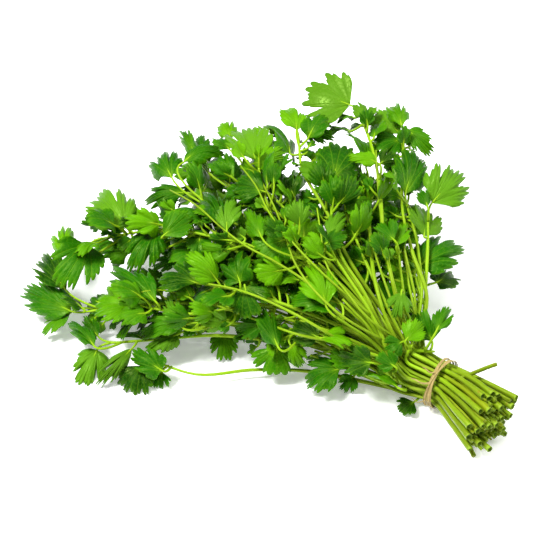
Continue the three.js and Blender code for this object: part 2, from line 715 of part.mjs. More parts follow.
// The nearest place to a point on a line, stepped back toward the tie so that the leaf's stalk
// leaves the stem at a slant
function stalkStart(line, target, isEnd) {
  const last = line.length - 1;
  if (isEnd) return line[last].clone().lerp(line[last - 1], 3 / line[last].distanceTo(line[last - 1]));
  let best = { distance: Infinity };
  for (let k = 4; k < last; k += 1) {
    for (let step = 0; step < 8; step += 1) {
      const point = line[k].clone().lerp(line[k + 1], step / 8);
      const distance = point.distanceTo(target);
      if (distance < best.distance) best = { distance, point, k };
    }
  }
  const back = line[best.k].clone().sub(line[best.k + 1]).normalize();
  const room = best.point.distanceTo(line[best.k]);
  return best.point.clone().addScaledVector(back, Math.min(0.5 * best.distance, room));
}

// The shape of one leaf blade, worked out from its base, tip and width
const halfSpread = 66;
const skyPull = 0.72;
const eyePull = 0.62;

function shapeLeaf({ base, tip, wide }, index, roll) {
  const random = seeded(5000 + index);
  const axis = tip.clone().sub(base);
  const length = axis.length();
  axis.normalize();
  const facing = vector(0, 0, skyPull).addScaledVector(lookAhead, -eyePull);
  const normal = facing.addScaledVector(axis, -facing.dot(axis)).normalize();
  normal.applyAxisAngle(axis, radians(roll + mix(-16, 16, random())));
  const across = normal.clone().cross(axis);
  return {
    base, length, wide, axis, normal, across,
    arch: mix(0.04, 0.2, random()),
    fold: mix(-0.16, 0.2, random()),
    wave: mix(0.8, 1.9, random()),
    phase: mix(0, 6.28, random()),
    waves: mix(1.6, 2.6, random()),
  };
}

// How far the rim lies from the base, as a share of the leaf's length: three lobes
function rimReach(side) {
  const valley = Math.max(0, 1 - Math.abs(Math.abs(side) - 0.38) / 0.15);
  return (1 - 0.24 * side * side) * (1 - 0.2 * valley);
}

// A point of the blade: out is 0 at the base and 1 at the rim, side runs from -1 to 1
function bladePoint(leaf, out, side, tooth = 0) {
  const angle = radians(halfSpread) * side;
  const reach = out * rimReach(side) * (1 - tooth) * leaf.length;
  const widest = 0.8 * Math.sin(radians(halfSpread)) * leaf.length;
  const along = reach * Math.cos(angle);
  const sideways = reach * Math.sin(angle) * (leaf.wide / 2) / widest;
  const t = along / leaf.length;
  const height = leaf.arch * leaf.length * 4 * t * (1 - t)
    + leaf.fold * Math.abs(sideways)
    + leaf.wave * out * out * Math.sin(leaf.waves * Math.PI * side + leaf.phase);
  const point = leaf.base.clone()
    .addScaledVector(leaf.axis, along)
    .addScaledVector(leaf.across, sideways)
    .addScaledVector(leaf.normal, height);
  point.z = Math.max(point.z, bladeFloor);
  return point;
}

// Points spread over a blade and along its stalk, close enough to find anything in the way
function leafSamples(leaf, start) {
  const samples = [];
  const rows = Math.ceil(leaf.length / 1.4);
  for (let row = 1; row <= rows; row += 1) {
    const out = row / rows;
    const columns = Math.ceil(out * (leaf.wide + leaf.length * 0.5) / 1.4) + 1;
    for (let column = 0; column <= columns; column += 1) {
      samples.push(bladePoint(leaf, out, 2 * column / columns - 1));
    }
  }
  const steps = Math.ceil(start.distanceTo(leaf.base) / 1.4);
  for (let step = 2; step <= steps; step += 1) {
    samples.push(start.clone().lerp(leaf.base, step / steps));
  }
  return samples;
}

// Cells of space already taken, each with the number of the leafy stem that took it
const taken = new Int16Array(gridCells.x * gridCells.y * gridCells.z);
const cellOf = (x, y, z) => (Math.floor((z - gridLow.z) / cell) * gridCells.y
  + Math.floor((y - gridLow.y) / cell)) * gridCells.x + Math.floor((x - gridLow.x) / cell);

// Takes every cell whose middle is within reach of a point
function take(points, reach, owner) {
  const steps = Math.ceil(reach / cell);
  points.forEach(({ x, y, z }) => {
    for (let i = -steps; i <= steps; i += 1) {
      for (let j = -steps; j <= steps; j += 1) {
        for (let k = -steps; k <= steps; k += 1) {
          const middle = [[x, i, gridLow.x], [y, j, gridLow.y], [z, k, gridLow.z]]
            .map(([at, step, low]) => low + (Math.floor((at - low) / cell) + step + 0.5) * cell);
          const away = Math.hypot(middle[0] - x, middle[1] - y, middle[2] - z);
          const index = cellOf(...middle);
          if (away <= reach && taken[index] === 0) taken[index] = owner;
        }
      }
    }
  });
}

// Whether all points lie in cells that are free or their own stem's. Leaves of one stem may only
// meet close to the base
function isClear(points, stem, base) {
  return points.every((point) => {
    const holder = taken[cellOf(point.x, point.y, point.z)];
    if (holder === 0 || holder === stem) return true;
    return holder % leafStep === stem && point.distanceTo(base) < meetingReach;
  });
}

// What is tried for a leaf that something is in the way of: nearer to or farther from the eye,
// rolled about its length, or smaller
const nudges = [0, 4, -4, 8, -8, 12, 16, -12, 20];
const rolls = [0, 24, -24, 45];
const shrinks = [1, 0.84, 0.7];

function placeLeaf(wanted, line, stem, rank) {
  const toEye = lookAhead.clone().negate();
  for (const shrink of shrinks) {
    for (const nudge of nudges) {
      for (const roll of rolls) {
        const base = wanted.base.clone().addScaledVector(toEye, nudge);
        const tip = wanted.tip.clone().addScaledVector(toEye, nudge);
        tip.lerpVectors(base, tip, shrink);
        base.z = Math.max(base.z, 2.2);
        tip.z = Math.max(tip.z, 0.6);
        const wide = wanted.wide * shrink;
        const leaf = shapeLeaf({ base, tip, wide }, stem * leafStep + rank, roll);
        const start = stalkStart(line, base, rank === 0);
        const samples = leafSamples(leaf, start);
        if (isClear(samples, stem, base)) {
          take(samples, bladeReach, (rank + 1) * leafStep + stem);
          return { leaf, start };
        }
      }
    }
  }
  return null;
}

// Collects triangles and makes a solid or a geometry of them
function newMesh() {
  return { points: [], faces: [] };
}

function addPoint(mesh, point) {
  mesh.points.push(point.x, point.y, point.z);
  return mesh.points.length / 3 - 1;
}

function toSolid({ points, faces }) {
  const mesh = new wasm.Mesh({
    numProp: 3,
    vertProperties: new Float32Array(points),
    triVerts: new Uint32Array(faces),
  });
  return new wasm.Manifold(mesh);
}

function toGeometry(solid) {
  const { vertProperties, triVerts } = solid.getMesh();
  const geometry = new THREE.BufferGeometry();
  geometry.setAttribute("position", new THREE.BufferAttribute(vertProperties, 3));
  geometry.setIndex(new THREE.BufferAttribute(triVerts, 1));
  geometry.computeVertexNormals();
  return geometry;
}

// Joins ring after ring of points into a tube with flat ends
function tubeSolid(rings) {
  const mesh = newMesh();
  const rows = rings.map((ring) => ring.map((point) => addPoint(mesh, point)));
  const sides = rows[0].length;
  rows.slice(1).forEach((row, k) => {
    for (let i = 0; i < sides; i += 1) {
      const j = (i + 1) % sides;
      mesh.faces.push(rows[k][i], rows[k][j], row[j], rows[k][i], row[j], row[i]);
    }
  });
  const first = rows[0];
  const final = rows[rows.length - 1];
  for (let i = 1; i + 1 < sides; i += 1) {
    mesh.faces.push(first[0], first[i + 1], first[i], final[0], final[i], final[i + 1]);
  }
  return toSolid(mesh);
}

// A stem: rings of points square to its line, carried along it without twisting
function stemSolid(line, radii) {
  let sideways = vector(0, 1, 0);
  const rings = line.map((point, k) => {
    const ahead = line[Math.min(k + 1, line.length - 1)].clone()
      .sub(line[Math.max(k - 1, 0)]).normalize();
    sideways = sideways.clone().addScaledVector(ahead, -sideways.dot(ahead)).normalize();
    const upward = ahead.clone().cross(sideways);
    return Array.from({ length: stemSides }, (unused, i) => {
      const angle = 2 * Math.PI * i / stemSides;
      return point.clone()
        .addScaledVector(sideways, radii[k] * Math.cos(angle))
        .addScaledVector(upward, radii[k] * Math.sin(angle));
    });
  });
  return tubeSolid(rings);
}

// A leaf: a diamond-shaped stalk that opens into a waved three-lobed blade with a toothed rim,
// of even thickness, with the same triangles on both faces
function leafSolid(leaf, start) {
  const mesh = newMesh();
  const big = leaf.length > bigLeaf;
  const columns = big ? 11 : 9;
  const tooth = (j) => (j % 2 === 1 ? 0.15 : 0);
  const rows = (big ? [0.55, 1] : [1]).map((out) => Array.from({ length: columns }, (unused, j) => {
    const middle = bladePoint(leaf, out, 2 * j / (columns - 1) - 1, out === 1 ? tooth(j) : 0);
    return [1, -1].map((face) => addPoint(
      mesh,
      middle.clone().addScaledVector(leaf.normal, face * bladeThick / 2),
    ));
  }));
  const stalkAhead = leaf.base.clone().sub(start).normalize();
  const diamond = (centre, ahead) => {
    const deep = leaf.normal.clone().addScaledVector(ahead, -leaf.normal.dot(ahead)).normalize();
    const across = deep.clone().cross(ahead).multiplyScalar(stalkHalf.across);
    deep.multiplyScalar(stalkHalf.deep);
    return [deep, across, deep.clone().negate(), across.clone().negate()]
      .map((offset) => addPoint(mesh, offset.add(centre)));
  };
  const inner = diamond(start, stalkAhead);
  const outer = diamond(leaf.base, stalkAhead.clone().add(leaf.axis).normalize());
  for (let i = 0; i < 4; i += 1) {
    const j = (i + 1) % 4;
    mesh.faces.push(inner[i], outer[i], outer[j], inner[i], outer[j], inner[j]);
  }
  mesh.faces.push(inner[0], inner[1], inner[2], inner[0], inner[2], inner[3]);
  bladeFaces(mesh, rows, outer);
  return toSolid(mesh);
}

// The blade's triangles: a fan from the stalk, then rows, and a wall round the edge
function bladeFaces(mesh, rows, [top, right, bottom, left]) {
  const [first] = rows;
  const rim = rows[rows.length - 1];
  const end = first.length - 1;
  for (let j = 0; j < end; j += 1) {
    mesh.faces.push(top, first[j][0], first[j + 1][0], bottom, first[j + 1][1], first[j][1]);
    mesh.faces.push(rim[j][0], rim[j][1], rim[j + 1][1], rim[j][0], rim[j + 1][1], rim[j + 1][0]);
    rows.slice(1).forEach((row, k) => {
      const [a, b] = [rows[k][j], rows[k][j + 1]];
      const [c, d] = [row[j + 1], row[j]];
      mesh.faces.push(a[0], d[0], c[0], a[0], c[0], b[0]);
      mesh.faces.push(a[1], c[1], d[1], a[1], b[1], c[1]);
    });
  }
  mesh.faces.push(top, left, first[0][0], left, first[0][1], first[0][0], left, bottom, first[0][1]);
  mesh.faces.push(top, first[end][0], right, right, first[end][0], first[end][1]);
  mesh.faces.push(right, first[end][1], bottom);
  rows.slice(1).forEach((row, k) => {
    const [a, b] = [rows[k][0], row[0]];
    mesh.faces.push(a[0], a[1], b[1], a[0], b[1], b[0]);
    const [c, d] = [rows[k][end], row[end]];
    mesh.faces.push(c[0], d[1], c[1], c[0], d[0], d[1]);
  });
}

// The raffia band round the bundle: two strands side by side with a groove between them, swaying
// a little to each side on the way round, with a flat facet on the table
function bandSolid() {
  const mesh = newMesh();
  const crossing = radians(crossingTurn);
  const section = [
    { x: -strandWide, radius: tieInside },
    { x: strandWide, radius: tieInside },
    { x: strandWide, radius: tieOutside },
    { x: tieGroove, radius: tieOutside },
    { x: 0, radius: tieOutside - tieGroove },
    { x: -tieGroove, radius: tieOutside },
    { x: -strandWide, radius: tieOutside },
  ];
  const rows = Array.from({ length: tieSteps }, (unused, k) => {
    const angle = 2 * Math.PI * (k + 0.5) / tieSteps;
    const sway = strandSway * Math.sin(angle - crossing);
    const corner = 1 / Math.cos(Math.PI / tieSteps);
    return section.map(({ x, radius }) => addPoint(mesh, vector(
      sway + x,
      -radius * corner * Math.sin(angle),
      tieOutside + radius * corner * Math.cos(angle),
    )));
  });
  rows.forEach((row, k) => {
    const next = rows[(k + 1) % tieSteps];
    for (let i = 0; i < section.length; i += 1) {
      const j = (i + 1) % section.length;
      mesh.faces.push(row[i], row[j], next[j], row[i], next[j], next[i]);
    }
  });
  return toSolid(mesh);
}

// A loose raffia end: a thin flat strip that leaves the ring where the strands cross
const tails = [
  { turn: 51, reach: [-0.9, -6, -12], rise: [0.1, 2.6, 4.2], wide: 1.3 },
  { turn: 25, reach: [-0.9, -4, -8], rise: [0.1, 2.2, 4.8], wide: 1.1 },
];
const tailThick = 0.45;

function tailSolid({ turn, reach, rise, wide }) {
  const rings = reach.map((x, k) => {
    const angle = radians(turn + 4 * k);
    const at = (side, face) => {
      const radius = tieOutside - 0.4 + rise[k] + face * tailThick;
      return vector(
        x + 0.25 * side * wide,
        -radius * Math.sin(angle) - side * wide * Math.cos(angle),
        tieOutside + radius * Math.cos(angle) - side * wide * Math.sin(angle),
      );
    };
    return [at(-1, 1), at(1, 1), at(1, -1), at(-1, -1)];
  });
  return tubeSolid(rings);
}

// Lays out every sprig, settles the stems and then finds room for each leaf in turn
const sprigs = [...seenSprigs, ...hiddenSprigs].map(laidOut);
giveSlots(sprigs);
const lines = sprigs.map(firstLine);
const radii = lines.map(lineRadii);
settle(lines, radii);
thinWhereTight(lines, radii);

lines.forEach((line, stem) => {
  line.slice(1).forEach((point, k) => {
    const steps = Math.ceil(point.distanceTo(line[k]) / 1.4);
    for (let step = 0; step <= steps; step += 1) {
      const radius = mix(radii[stem][k], radii[stem][k + 1], step / steps);
      take([line[k].clone().lerp(point, step / steps)], radius + stemReach, stem + 1);
    }
  });
});

const placed = sprigs.map(() => []);
const mostLeaves = Math.max(...sprigs.map(({ leaves }) => leaves.length));
for (let rank = 0; rank < mostLeaves; rank += 1) {
  sprigs.forEach(({ leaves }, stem) => {
    if (rank >= leaves.length) return;
    const found = placeLeaf(leaves[rank], lines[stem], stem + 1, rank);
    if (found) placed[stem].push(found);
  });
}

const leafyMaterial = new THREE.MeshStandardMaterial({ color: 0x5c9a17, roughness: 0.5 });
const raffiaMaterial = new THREE.MeshStandardMaterial({ color: 0xc0a468, roughness: 0.8 });

const bunch = new THREE.Group();
const inner = new THREE.Group();
bunch.add(inner);

lines.forEach((line, stem) => {
  let solid = stemSolid(line, radii[stem]);
  placed[stem].forEach(({ leaf, start }) => {
    solid = solid.add(leafSolid(leaf, start));
  });
  const sprig = new THREE.Mesh(toGeometry(solid), leafyMaterial);
  sprig.name = `leafy_stem_${String(stem + 1).padStart(2, "0")}`;
  inner.add(sprig);
});

let tieBody = bandSolid();
tails.forEach((tail) => {
  tieBody = tieBody.add(tailSolid(tail));
});
const tie = new THREE.Mesh(toGeometry(tieBody), raffiaMaterial);
tie.name = "raffia_tie";
inner.add(tie);

const box = new THREE.Box3().setFromObject(bunch);
inner.position.set(-(box.min.x + box.max.x) / 2, -(box.min.y + box.max.y) / 2, -box.min.z);

export default bunch;
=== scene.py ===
import math

import bpy
import numpy as np
from mathutils import Matrix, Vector
from types import SimpleNamespace


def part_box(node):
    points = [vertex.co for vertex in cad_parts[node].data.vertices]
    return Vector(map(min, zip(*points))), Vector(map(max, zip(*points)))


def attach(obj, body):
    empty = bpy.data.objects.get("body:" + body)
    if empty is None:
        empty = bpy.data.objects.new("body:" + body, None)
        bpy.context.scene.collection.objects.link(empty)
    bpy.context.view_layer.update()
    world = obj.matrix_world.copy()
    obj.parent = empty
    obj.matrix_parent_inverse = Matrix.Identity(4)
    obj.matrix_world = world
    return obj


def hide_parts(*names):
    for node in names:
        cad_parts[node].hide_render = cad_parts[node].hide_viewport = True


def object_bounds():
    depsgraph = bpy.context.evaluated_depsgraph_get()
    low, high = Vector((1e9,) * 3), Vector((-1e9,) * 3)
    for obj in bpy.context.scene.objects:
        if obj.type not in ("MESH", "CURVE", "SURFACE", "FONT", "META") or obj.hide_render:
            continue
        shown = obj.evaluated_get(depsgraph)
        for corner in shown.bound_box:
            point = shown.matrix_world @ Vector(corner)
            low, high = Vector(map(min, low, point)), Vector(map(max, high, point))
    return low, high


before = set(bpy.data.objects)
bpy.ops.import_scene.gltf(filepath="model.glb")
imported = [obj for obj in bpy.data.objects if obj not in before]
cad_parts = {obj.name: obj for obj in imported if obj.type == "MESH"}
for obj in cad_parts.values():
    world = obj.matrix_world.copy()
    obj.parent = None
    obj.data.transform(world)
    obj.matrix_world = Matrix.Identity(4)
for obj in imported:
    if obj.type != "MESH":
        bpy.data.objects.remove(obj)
cadLow, cadHigh = [list(corner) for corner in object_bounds()]
print("frame loaded")

# Sizes shared with the solid model, in millimetres
tie = dict(inside=15.0, thick=1.3, crossingTurn=35)
tieOutside = tie["inside"] + tie["thick"]
stem = dict(pitch=3.7, cut=2.3, tie=1.6, upper=1.25, tip=0.8, gap=0.4)
flare = dict(sideways=1.62, upward=1.38, drift=-14, rise=19.5)
cutLength = dict(least=40, most=52, slope=9, rim=13)
bladeFloor = 0.45
eye = dict(turn=35, drop=42, reach=1100, focal=1774, middle=266.5)
tieSeen = (440, 383, tieOutside)
pictureWide = 533
seeds = dict(line=100, stem=300, hidden=900, leaf=5000, tint=77)

# Grid of small cells that keeps the leaves of one stem clear of the next
cells = dict(size=1.5, low=np.array([-330, -170, -6]), count=np.array([270, 230, 92]))
bladeReach = 1.7
stemReach = 1.5
leafStep = 100
meetingReach = 5


def mix(a, b, t):
    # a at t = 0, b at t = 1
    return a + (b - a) * t


def unit(v):
    # The vector over its own length
    return v / np.linalg.norm(v)


def vec(x, y, z):
    # Three numbers as one array
    return np.array([x, y, z], float)


def lengths(points):
    # The straight distance from each point to the next
    return np.linalg.norm(np.diff(points, axis=0), axis=1)


def distancesAlong(points):
    # How far along the line each point is: zero, then the lengths added up one by one
    return np.concatenate([[0], np.cumsum(lengths(points))])


turn, drop = math.radians(eye["turn"]), math.radians(eye["drop"])
lookRight = vec(math.cos(turn), math.sin(turn), 0)
lookAhead = vec(-math.sin(turn) * math.cos(drop), math.cos(turn) * math.cos(drop), -math.sin(drop))
lookUp = np.cross(lookRight, lookAhead)


def lookAlong(column, row):
    # Ahead, plus right and up in proportion to the pixels from the picture's middle
    right = (column - eye["middle"]) / eye["focal"]
    up = (eye["middle"] - row) / eye["focal"]
    return lookAhead + lookRight * right + lookUp * up


eyePlace = vec(0, 0, tieSeen[2]) - lookAlong(*tieSeen[:2]) * eye["reach"]


def seenAt(column, row, lift):
    # Where the sight line through a pixel is lift millimetres above the table
    along = lookAlong(column, row)
    return eyePlace + along * ((lift - eyePlace[2]) / along[2])


fullWord = 0xFFFFFFFF
counterStep = 0x6D2B79F5


def seeded(seed):
    # The solid model's own random numbers from 0 to 1: 32-bit mixing of a counter
    state = seed & fullWord

    def following():
        # The counter stepped on, then its bits shifted, multiplied and joined
        nonlocal state
        state = (state + counterStep) & fullWord
        mixed = ((state ^ (state >> 15)) * (state | 1)) & fullWord
        mixed ^= (mixed + (mixed ^ (mixed >> 7)) * (mixed | 61)) & fullWord
        return (mixed ^ (mixed >> 14)) / (fullWord + 1)

    return following


# The leafy stems that the photograph shows. through: places its stem passes, from the tie
# outward. leaves: the end leaf first, each from its base to its tip, and how wide it is.
# A place is its column and row in the picture and its height above the table.
seenSprigs = [
    # Dark lobed leaf at the far left, with the big bright leaf halfway
    dict(
        through=[(310, 275, 46), (215, 240, 52), (137, 230, 50)],
        leaves=[
            ((89, 245, 44), (62, 286, 36), 36), ((126, 227, 54), (97, 193, 56), 36),
            ((150, 231, 54), (127, 205, 62), 14), ((66, 256, 42), (57, 223, 44), 19),
        ],
    ),
    # Outermost tip on the left
    dict(
        through=[(290, 310, 30), (168, 303, 30), (110, 309, 24)],
        leaves=[
            ((71, 311, 20), (19, 288, 16), 24), ((70, 313, 16), (43, 335, 6), 18),
            ((66, 290, 28), (40, 256, 30), 24),
        ],
    ),
    # Leaf with the streaks of light
    dict(
        through=[(300, 262, 54), (235, 243, 60), (175, 226, 58)],
        leaves=[
            ((158, 232, 56), (131, 268, 48), 27), ((163, 236, 62), (190, 214, 68), 22),
            ((130, 252, 40), (92, 241, 38), 22),
        ],
    ),
    # Lobed leaf in the middle of the left side
    dict(
        through=[(290, 320, 34), (230, 308, 38), (168, 316, 34)],
        leaves=[
            ((133, 305, 34), (95, 306, 30), 34), ((156, 302, 42), (112, 263, 44), 24),
            ((152, 309, 30), (118, 337, 18), 17),
        ],
    ),
    # Long low stem whose end leaf bends down to the table
    dict(
        through=[(340, 352, 14), (260, 341, 16), (190, 335, 18), (130, 345, 14)],
        leaves=[
            ((97, 350, 12), (81, 386, 1), 22), ((95, 346, 15), (70, 318, 14), 12),
            ((97, 337, 20), (82, 318, 24), 13), ((133, 348, 10), (100, 382, 3), 14),
        ],
    ),
    # Lowest stem along the front
    dict(
        through=[(400, 393, 5), (340, 374, 6), (262, 369, 8), (190, 374, 9)],
        leaves=[
            ((143, 366, 10), (128, 393, 1), 30), ((162, 372, 6), (157, 388, 1), 20),
            ((162, 370, 12), (132, 351, 16), 18),
        ],
    ),
    # Muted leaves between the lobed leaf and the low stems
    dict(
        through=[(300, 330, 26), (225, 322, 28)],
        leaves=[
            ((187, 324, 28), (140, 333, 22), 20), ((176, 335, 22), (146, 350, 17), 14),
            ((180, 324, 34), (168, 298, 38), 14),
        ],
    ),
    # Arching leaves at the upper left
    dict(
        through=[(290, 250, 58), (215, 214, 62)],
        leaves=[
            ((186, 193, 64), (143, 199, 58), 22), ((172, 178, 66), (158, 149, 66), 26),
            ((184, 163, 72), (222, 147, 74), 20),
        ],
    ),
    # Small spiky leaves on the upper edge
    dict(
        through=[(330, 260, 64), (270, 205, 70)],
        leaves=[
            ((234, 180, 74), (211, 155, 74), 21), ((229, 149, 76), (215, 137, 76), 15),
            ((203, 152, 68), (199, 134, 68), 13), ((197, 158, 66), (181, 128, 66), 10),
        ],
    ),
    # Wide arching leaf at the top, on a clear ribbed stem
    dict(
        through=[(350, 290, 56), (290, 250, 66), (266, 200, 76)],
        leaves=[
            ((256, 160, 82), (240, 130, 80), 34), ((252, 164, 84), (290, 156, 80), 22),
            ((231, 140, 78), (223, 119, 78), 15), ((268, 149, 76), (262, 124, 76), 18),
        ],
    ),
    # Curled leaf in the centre of the upper part
    dict(
        through=[(345, 275, 60), (300, 225, 68)],
        leaves=[
            ((264, 192, 76), (234, 184, 74), 28), ((272, 184, 66), (272, 164, 68), 18),
            ((286, 198, 72), (288, 178, 74), 17),
        ],
    ),
    # Narrow fingered leaves left of the centre
    dict(
        through=[(320, 272, 58), (243, 244, 66)],
        leaves=[
            ((224, 231, 68), (206, 183, 72), 17), ((227, 231, 72), (231, 199, 78), 20),
            ((232, 250, 58), (201, 248, 56), 20),
        ],
    ),
    # Shaded leaves under them
    dict(
        through=[(310, 285, 46), (240, 255, 50)],
        leaves=[
            ((206, 226, 58), (178, 206, 60), 20), ((200, 238, 52), (198, 258, 46), 17),
            ((198, 254, 44), (168, 258, 42), 24),
        ],
    ),
    # Shiny wrinkled leaf beside the clear stem
    dict(
        through=[(365, 315, 48), (315, 270, 62)],
        leaves=[
            ((284, 240, 72), (254, 250, 68), 30), ((274, 262, 62), (247, 270, 56), 17),
            ((262, 238, 74), (247, 207, 78), 15),
        ],
    ),
    # Leaf with the light midrib in the lower middle
    dict(
        through=[(370, 340, 34), (290, 306, 46), (225, 286, 50)],
        leaves=[
            ((197, 283, 52), (160, 276, 48), 32), ((240, 282, 54), (236, 252, 60), 22),
            ((245, 286, 50), (252, 317, 38), 29),
        ],
    ),
    # Largest bright leaf of the lower middle
    dict(
        through=[(360, 345, 28), (290, 312, 38)],
        leaves=[
            ((236, 292, 42), (196, 325, 26), 42), ((224, 334, 18), (223, 361, 8), 20),
            ((264, 324, 32), (235, 331, 24), 18),
        ],
    ),
    # Three lobes hanging at the lower edge
    dict(
        through=[(370, 350, 24), (310, 332, 30)],
        leaves=[
            ((277, 347, 24), (277, 375, 12), 34), ((278, 346, 30), (260, 307, 34), 15),
            ((290, 344, 30), (304, 366, 18), 14),
        ],
    ),
    # Leaf low at the front, near the tie
    dict(
        through=[(390, 384, 12)],
        leaves=[
            ((340, 369, 18), (305, 383, 8), 27), ((352, 370, 22), (330, 352, 28), 16),
            ((354, 376, 8), (342, 391, 2), 14),
        ],
    ),
    # Largest leaf, at the very top
    dict(
        through=[(395, 290, 58), (383, 230, 72), (378, 170, 84), (364, 124, 88)],
        leaves=[
            ((350, 105, 92), (305, 92, 92), 42), ((376, 164, 85), (348, 157, 87), 13),
            ((380, 164, 85), (395, 152, 90), 14), ((367, 124, 88), (361, 102, 90), 18),
        ],
    ),
    # Hooked stem with two bright leaves at the top
    dict(
        through=[(350, 260, 62), (320, 197, 76), (298, 160, 84)],
        leaves=[
            ((297, 130, 86), (288, 107, 86), 20), ((303, 127, 86), (333, 136, 86), 19),
            ((290, 153, 82), (268, 128, 80), 25),
        ],
    ),
    # Leaf with the strong highlight
    dict(
        through=[(362, 290, 58), (334, 240, 72)],
        leaves=[
            ((334, 177, 86), (342, 142, 88), 31), ((322, 190, 80), (305, 157, 82), 20),
            ((328, 198, 80), (352, 188, 84), 13),
        ],
    ),
    # Dark and pale fingers at the top right, with one leaf arching over to the right
    dict(
        through=[(424, 300, 46), (402, 225, 68)],
        leaves=[
            ((400, 134, 84), (374, 112, 84), 26), ((401, 128, 88), (393, 103, 90), 18),
            ((408, 130, 88), (431, 152, 82), 16), ((400, 140, 82), (376, 152, 80), 22),
        ],
    ),
    # Big leaf hanging behind the thick pair of stems
    dict(
        through=[(424, 305, 44), (416, 235, 62)],
        leaves=[((405, 194, 76), (411, 147, 84), 26), ((402, 200, 72), (382, 196, 74), 16)],
    ),
    # Leaf beside the stem of the top leaf
    dict(
        through=[(380, 300, 54), (370, 230, 66)],
        leaves=[((366, 168, 78), (348, 134, 80), 24), ((366, 192, 72), (348, 174, 74), 21)],
    ),
    # Pale veined leaf on the right
    dict(
        through=[(423, 305, 42), (427, 245, 60)],
        leaves=[
            ((432, 203, 76), (461, 168, 86), 34), ((427, 207, 76), (419, 190, 80), 11),
            ((424, 236, 64), (421, 206, 70), 27),
        ],
    ),
    # Bright three-lobed leaf under it
    dict(
        through=[(430, 330, 34)],
        leaves=[
            ((420, 267, 54), (462, 240, 58), 28), ((416, 266, 58), (404, 237, 66), 20),
            ((414, 271, 52), (395, 291, 46), 20),
        ],
    ),
    # Small narrow leaves over the bare stems of the middle
    dict(
        through=[(372, 315, 50)],
        leaves=[
            ((322, 245, 75), (301, 238, 76), 14), ((325, 244, 77), (346, 233, 81), 14),
            ((329, 238, 75), (342, 210, 80), 14),
        ],
    ),
    dict(
        through=[(388, 310, 48), (356, 240, 66)],
        leaves=[((344, 198, 74), (336, 176, 78), 15), ((348, 200, 76), (369, 217, 74), 20)],
    ),
    # Greyish leaf near the top leaf's stem
    dict(
        through=[(405, 300, 48)],
        leaves=[((393, 240, 68), (376, 225, 71), 22), ((396, 246, 66), (403, 224, 70), 15)],
    ),
    # Bright leaves in front of the bare stems
    dict(
        through=[(378, 345, 34)],
        leaves=[((326, 306, 58), (310, 262, 70), 27), ((338, 303, 57), (292, 301, 52), 22)],
    ),
    dict(
        through=[(414, 335, 34)],
        leaves=[((386, 291, 53), (373, 314, 47), 20), ((400, 292, 52), (396, 316, 45), 18)],
    ),
    # Pale leaf and a small sprig on the right of the bundle
    dict(
        through=[],
        leaves=[((432, 341, 36), (420, 311, 48), 20), ((434, 330, 36), (446, 306, 42), 14)],
    ),
    # Bright bent leaf above the low stems
    dict(
        through=[(392, 362, 26)],
        leaves=[
            ((318, 337, 38), (291, 326, 38), 19), ((322, 338, 42), (352, 343, 40), 24),
            ((352, 340, 38), (357, 320, 44), 17),
        ],
    ),
    # Curled pair in front of the tie
    dict(
        through=[],
        leaves=[((402, 342, 40), (386, 351, 37), 17), ((406, 340, 42), (421, 321, 48), 18)],
    ),
    # Muted leaves low beside the bundle
    dict(
        through=[],
        leaves=[((370, 362, 28), (338, 357, 25), 20), ((394, 366, 32), (377, 354, 35), 14)],
    ),
    dict(
        through=[],
        leaves=[((396, 386, 14), (363, 371, 14), 20), ((414, 402, 5), (400, 412, 2), 18)],
    ),
]

# Leafy stems that the photograph hides: direction from -X toward +Y, reach and height
hiddenSprigs = [
    dict(toward=44, far=128, lift=40),
    dict(toward=36, far=172, lift=44),
    dict(toward=52, far=92, lift=26),
    dict(toward=30, far=140, lift=5),
    dict(toward=22, far=205, lift=34),
    dict(toward=14, far=232, lift=40),
    dict(toward=10, far=172, lift=20),
    dict(toward=4, far=218, lift=9),
    dict(toward=-6, far=150, lift=24),
    dict(toward=-12, far=196, lift=8),
]
hiddenLeaves = dict(
    long=27, wide=30, sideLong=20, sideWide=18, spread=58, back=16, aside=7, asideUp=1,
    heading=(-14, 14), rise=(-9, 3), widths=(0.85, 1.1), lengths=(0.85, 1.15), tipLowest=1,
)
halfWay = dict(turn=0.8, far=0.55, lift=14, raised=0.6)


def fromTie(toward, far, lift):
    # Polar to straight coordinates, from -X toward +Y
    angle = math.radians(toward)
    return vec(-far * math.cos(angle), far * math.sin(angle), lift)


def seenLayout(sprig):
    # The sight lines' points for one seen stem
    leaves = [
        dict(base=seenAt(*base), tip=seenAt(*tip), wide=wide) for base, tip, wide in sprig["leaves"]
    ]
    return dict(through=[seenAt(*place) for place in sprig["through"]], leaves=leaves)


def hiddenLayout(sprig, index):
    # An end leaf straight ahead and one to each side, a little behind it; each heading, rise and
    # width is drawn between its limits
    random = seeded(seeds["hidden"] + index)
    sizes = hiddenLeaves
    toward, far, lift = sprig["toward"], sprig["far"], sprig["lift"]
    end = fromTie(toward, far, lift)
    ahead = toward + mix(*sizes["heading"], random())

    def leaf(base, heading, reach, width):
        # The tip at a reach from the base along the heading, raised by the drawn rise
        rise = max(mix(*sizes["rise"], random()), sizes["tipLowest"] - base[2])
        tip = base + fromTie(heading, reach, rise)
        return dict(base=base, tip=tip, wide=width * mix(*sizes["widths"], random()))

    def beside(angle):
        # Back from the end leaf, then a short way out to one side
        outward = fromTie(ahead + angle, sizes["aside"], sizes["asideUp"])
        return end + fromTie(ahead, -sizes["back"], 0) + outward

    spread = sizes["spread"]
    long, wide = sizes["sideLong"], sizes["sideWide"]
    height = mix(halfWay["lift"], lift, halfWay["raised"])
    return dict(
        through=[fromTie(toward * halfWay["turn"], far * halfWay["far"], height)],
        leaves=[
            leaf(end, ahead, sizes["long"] * mix(*sizes["lengths"], random()), sizes["wide"]),
            leaf(beside(spread), ahead + spread, long, wide),
            leaf(beside(-spread), ahead - spread, long, wide),
        ],
    )


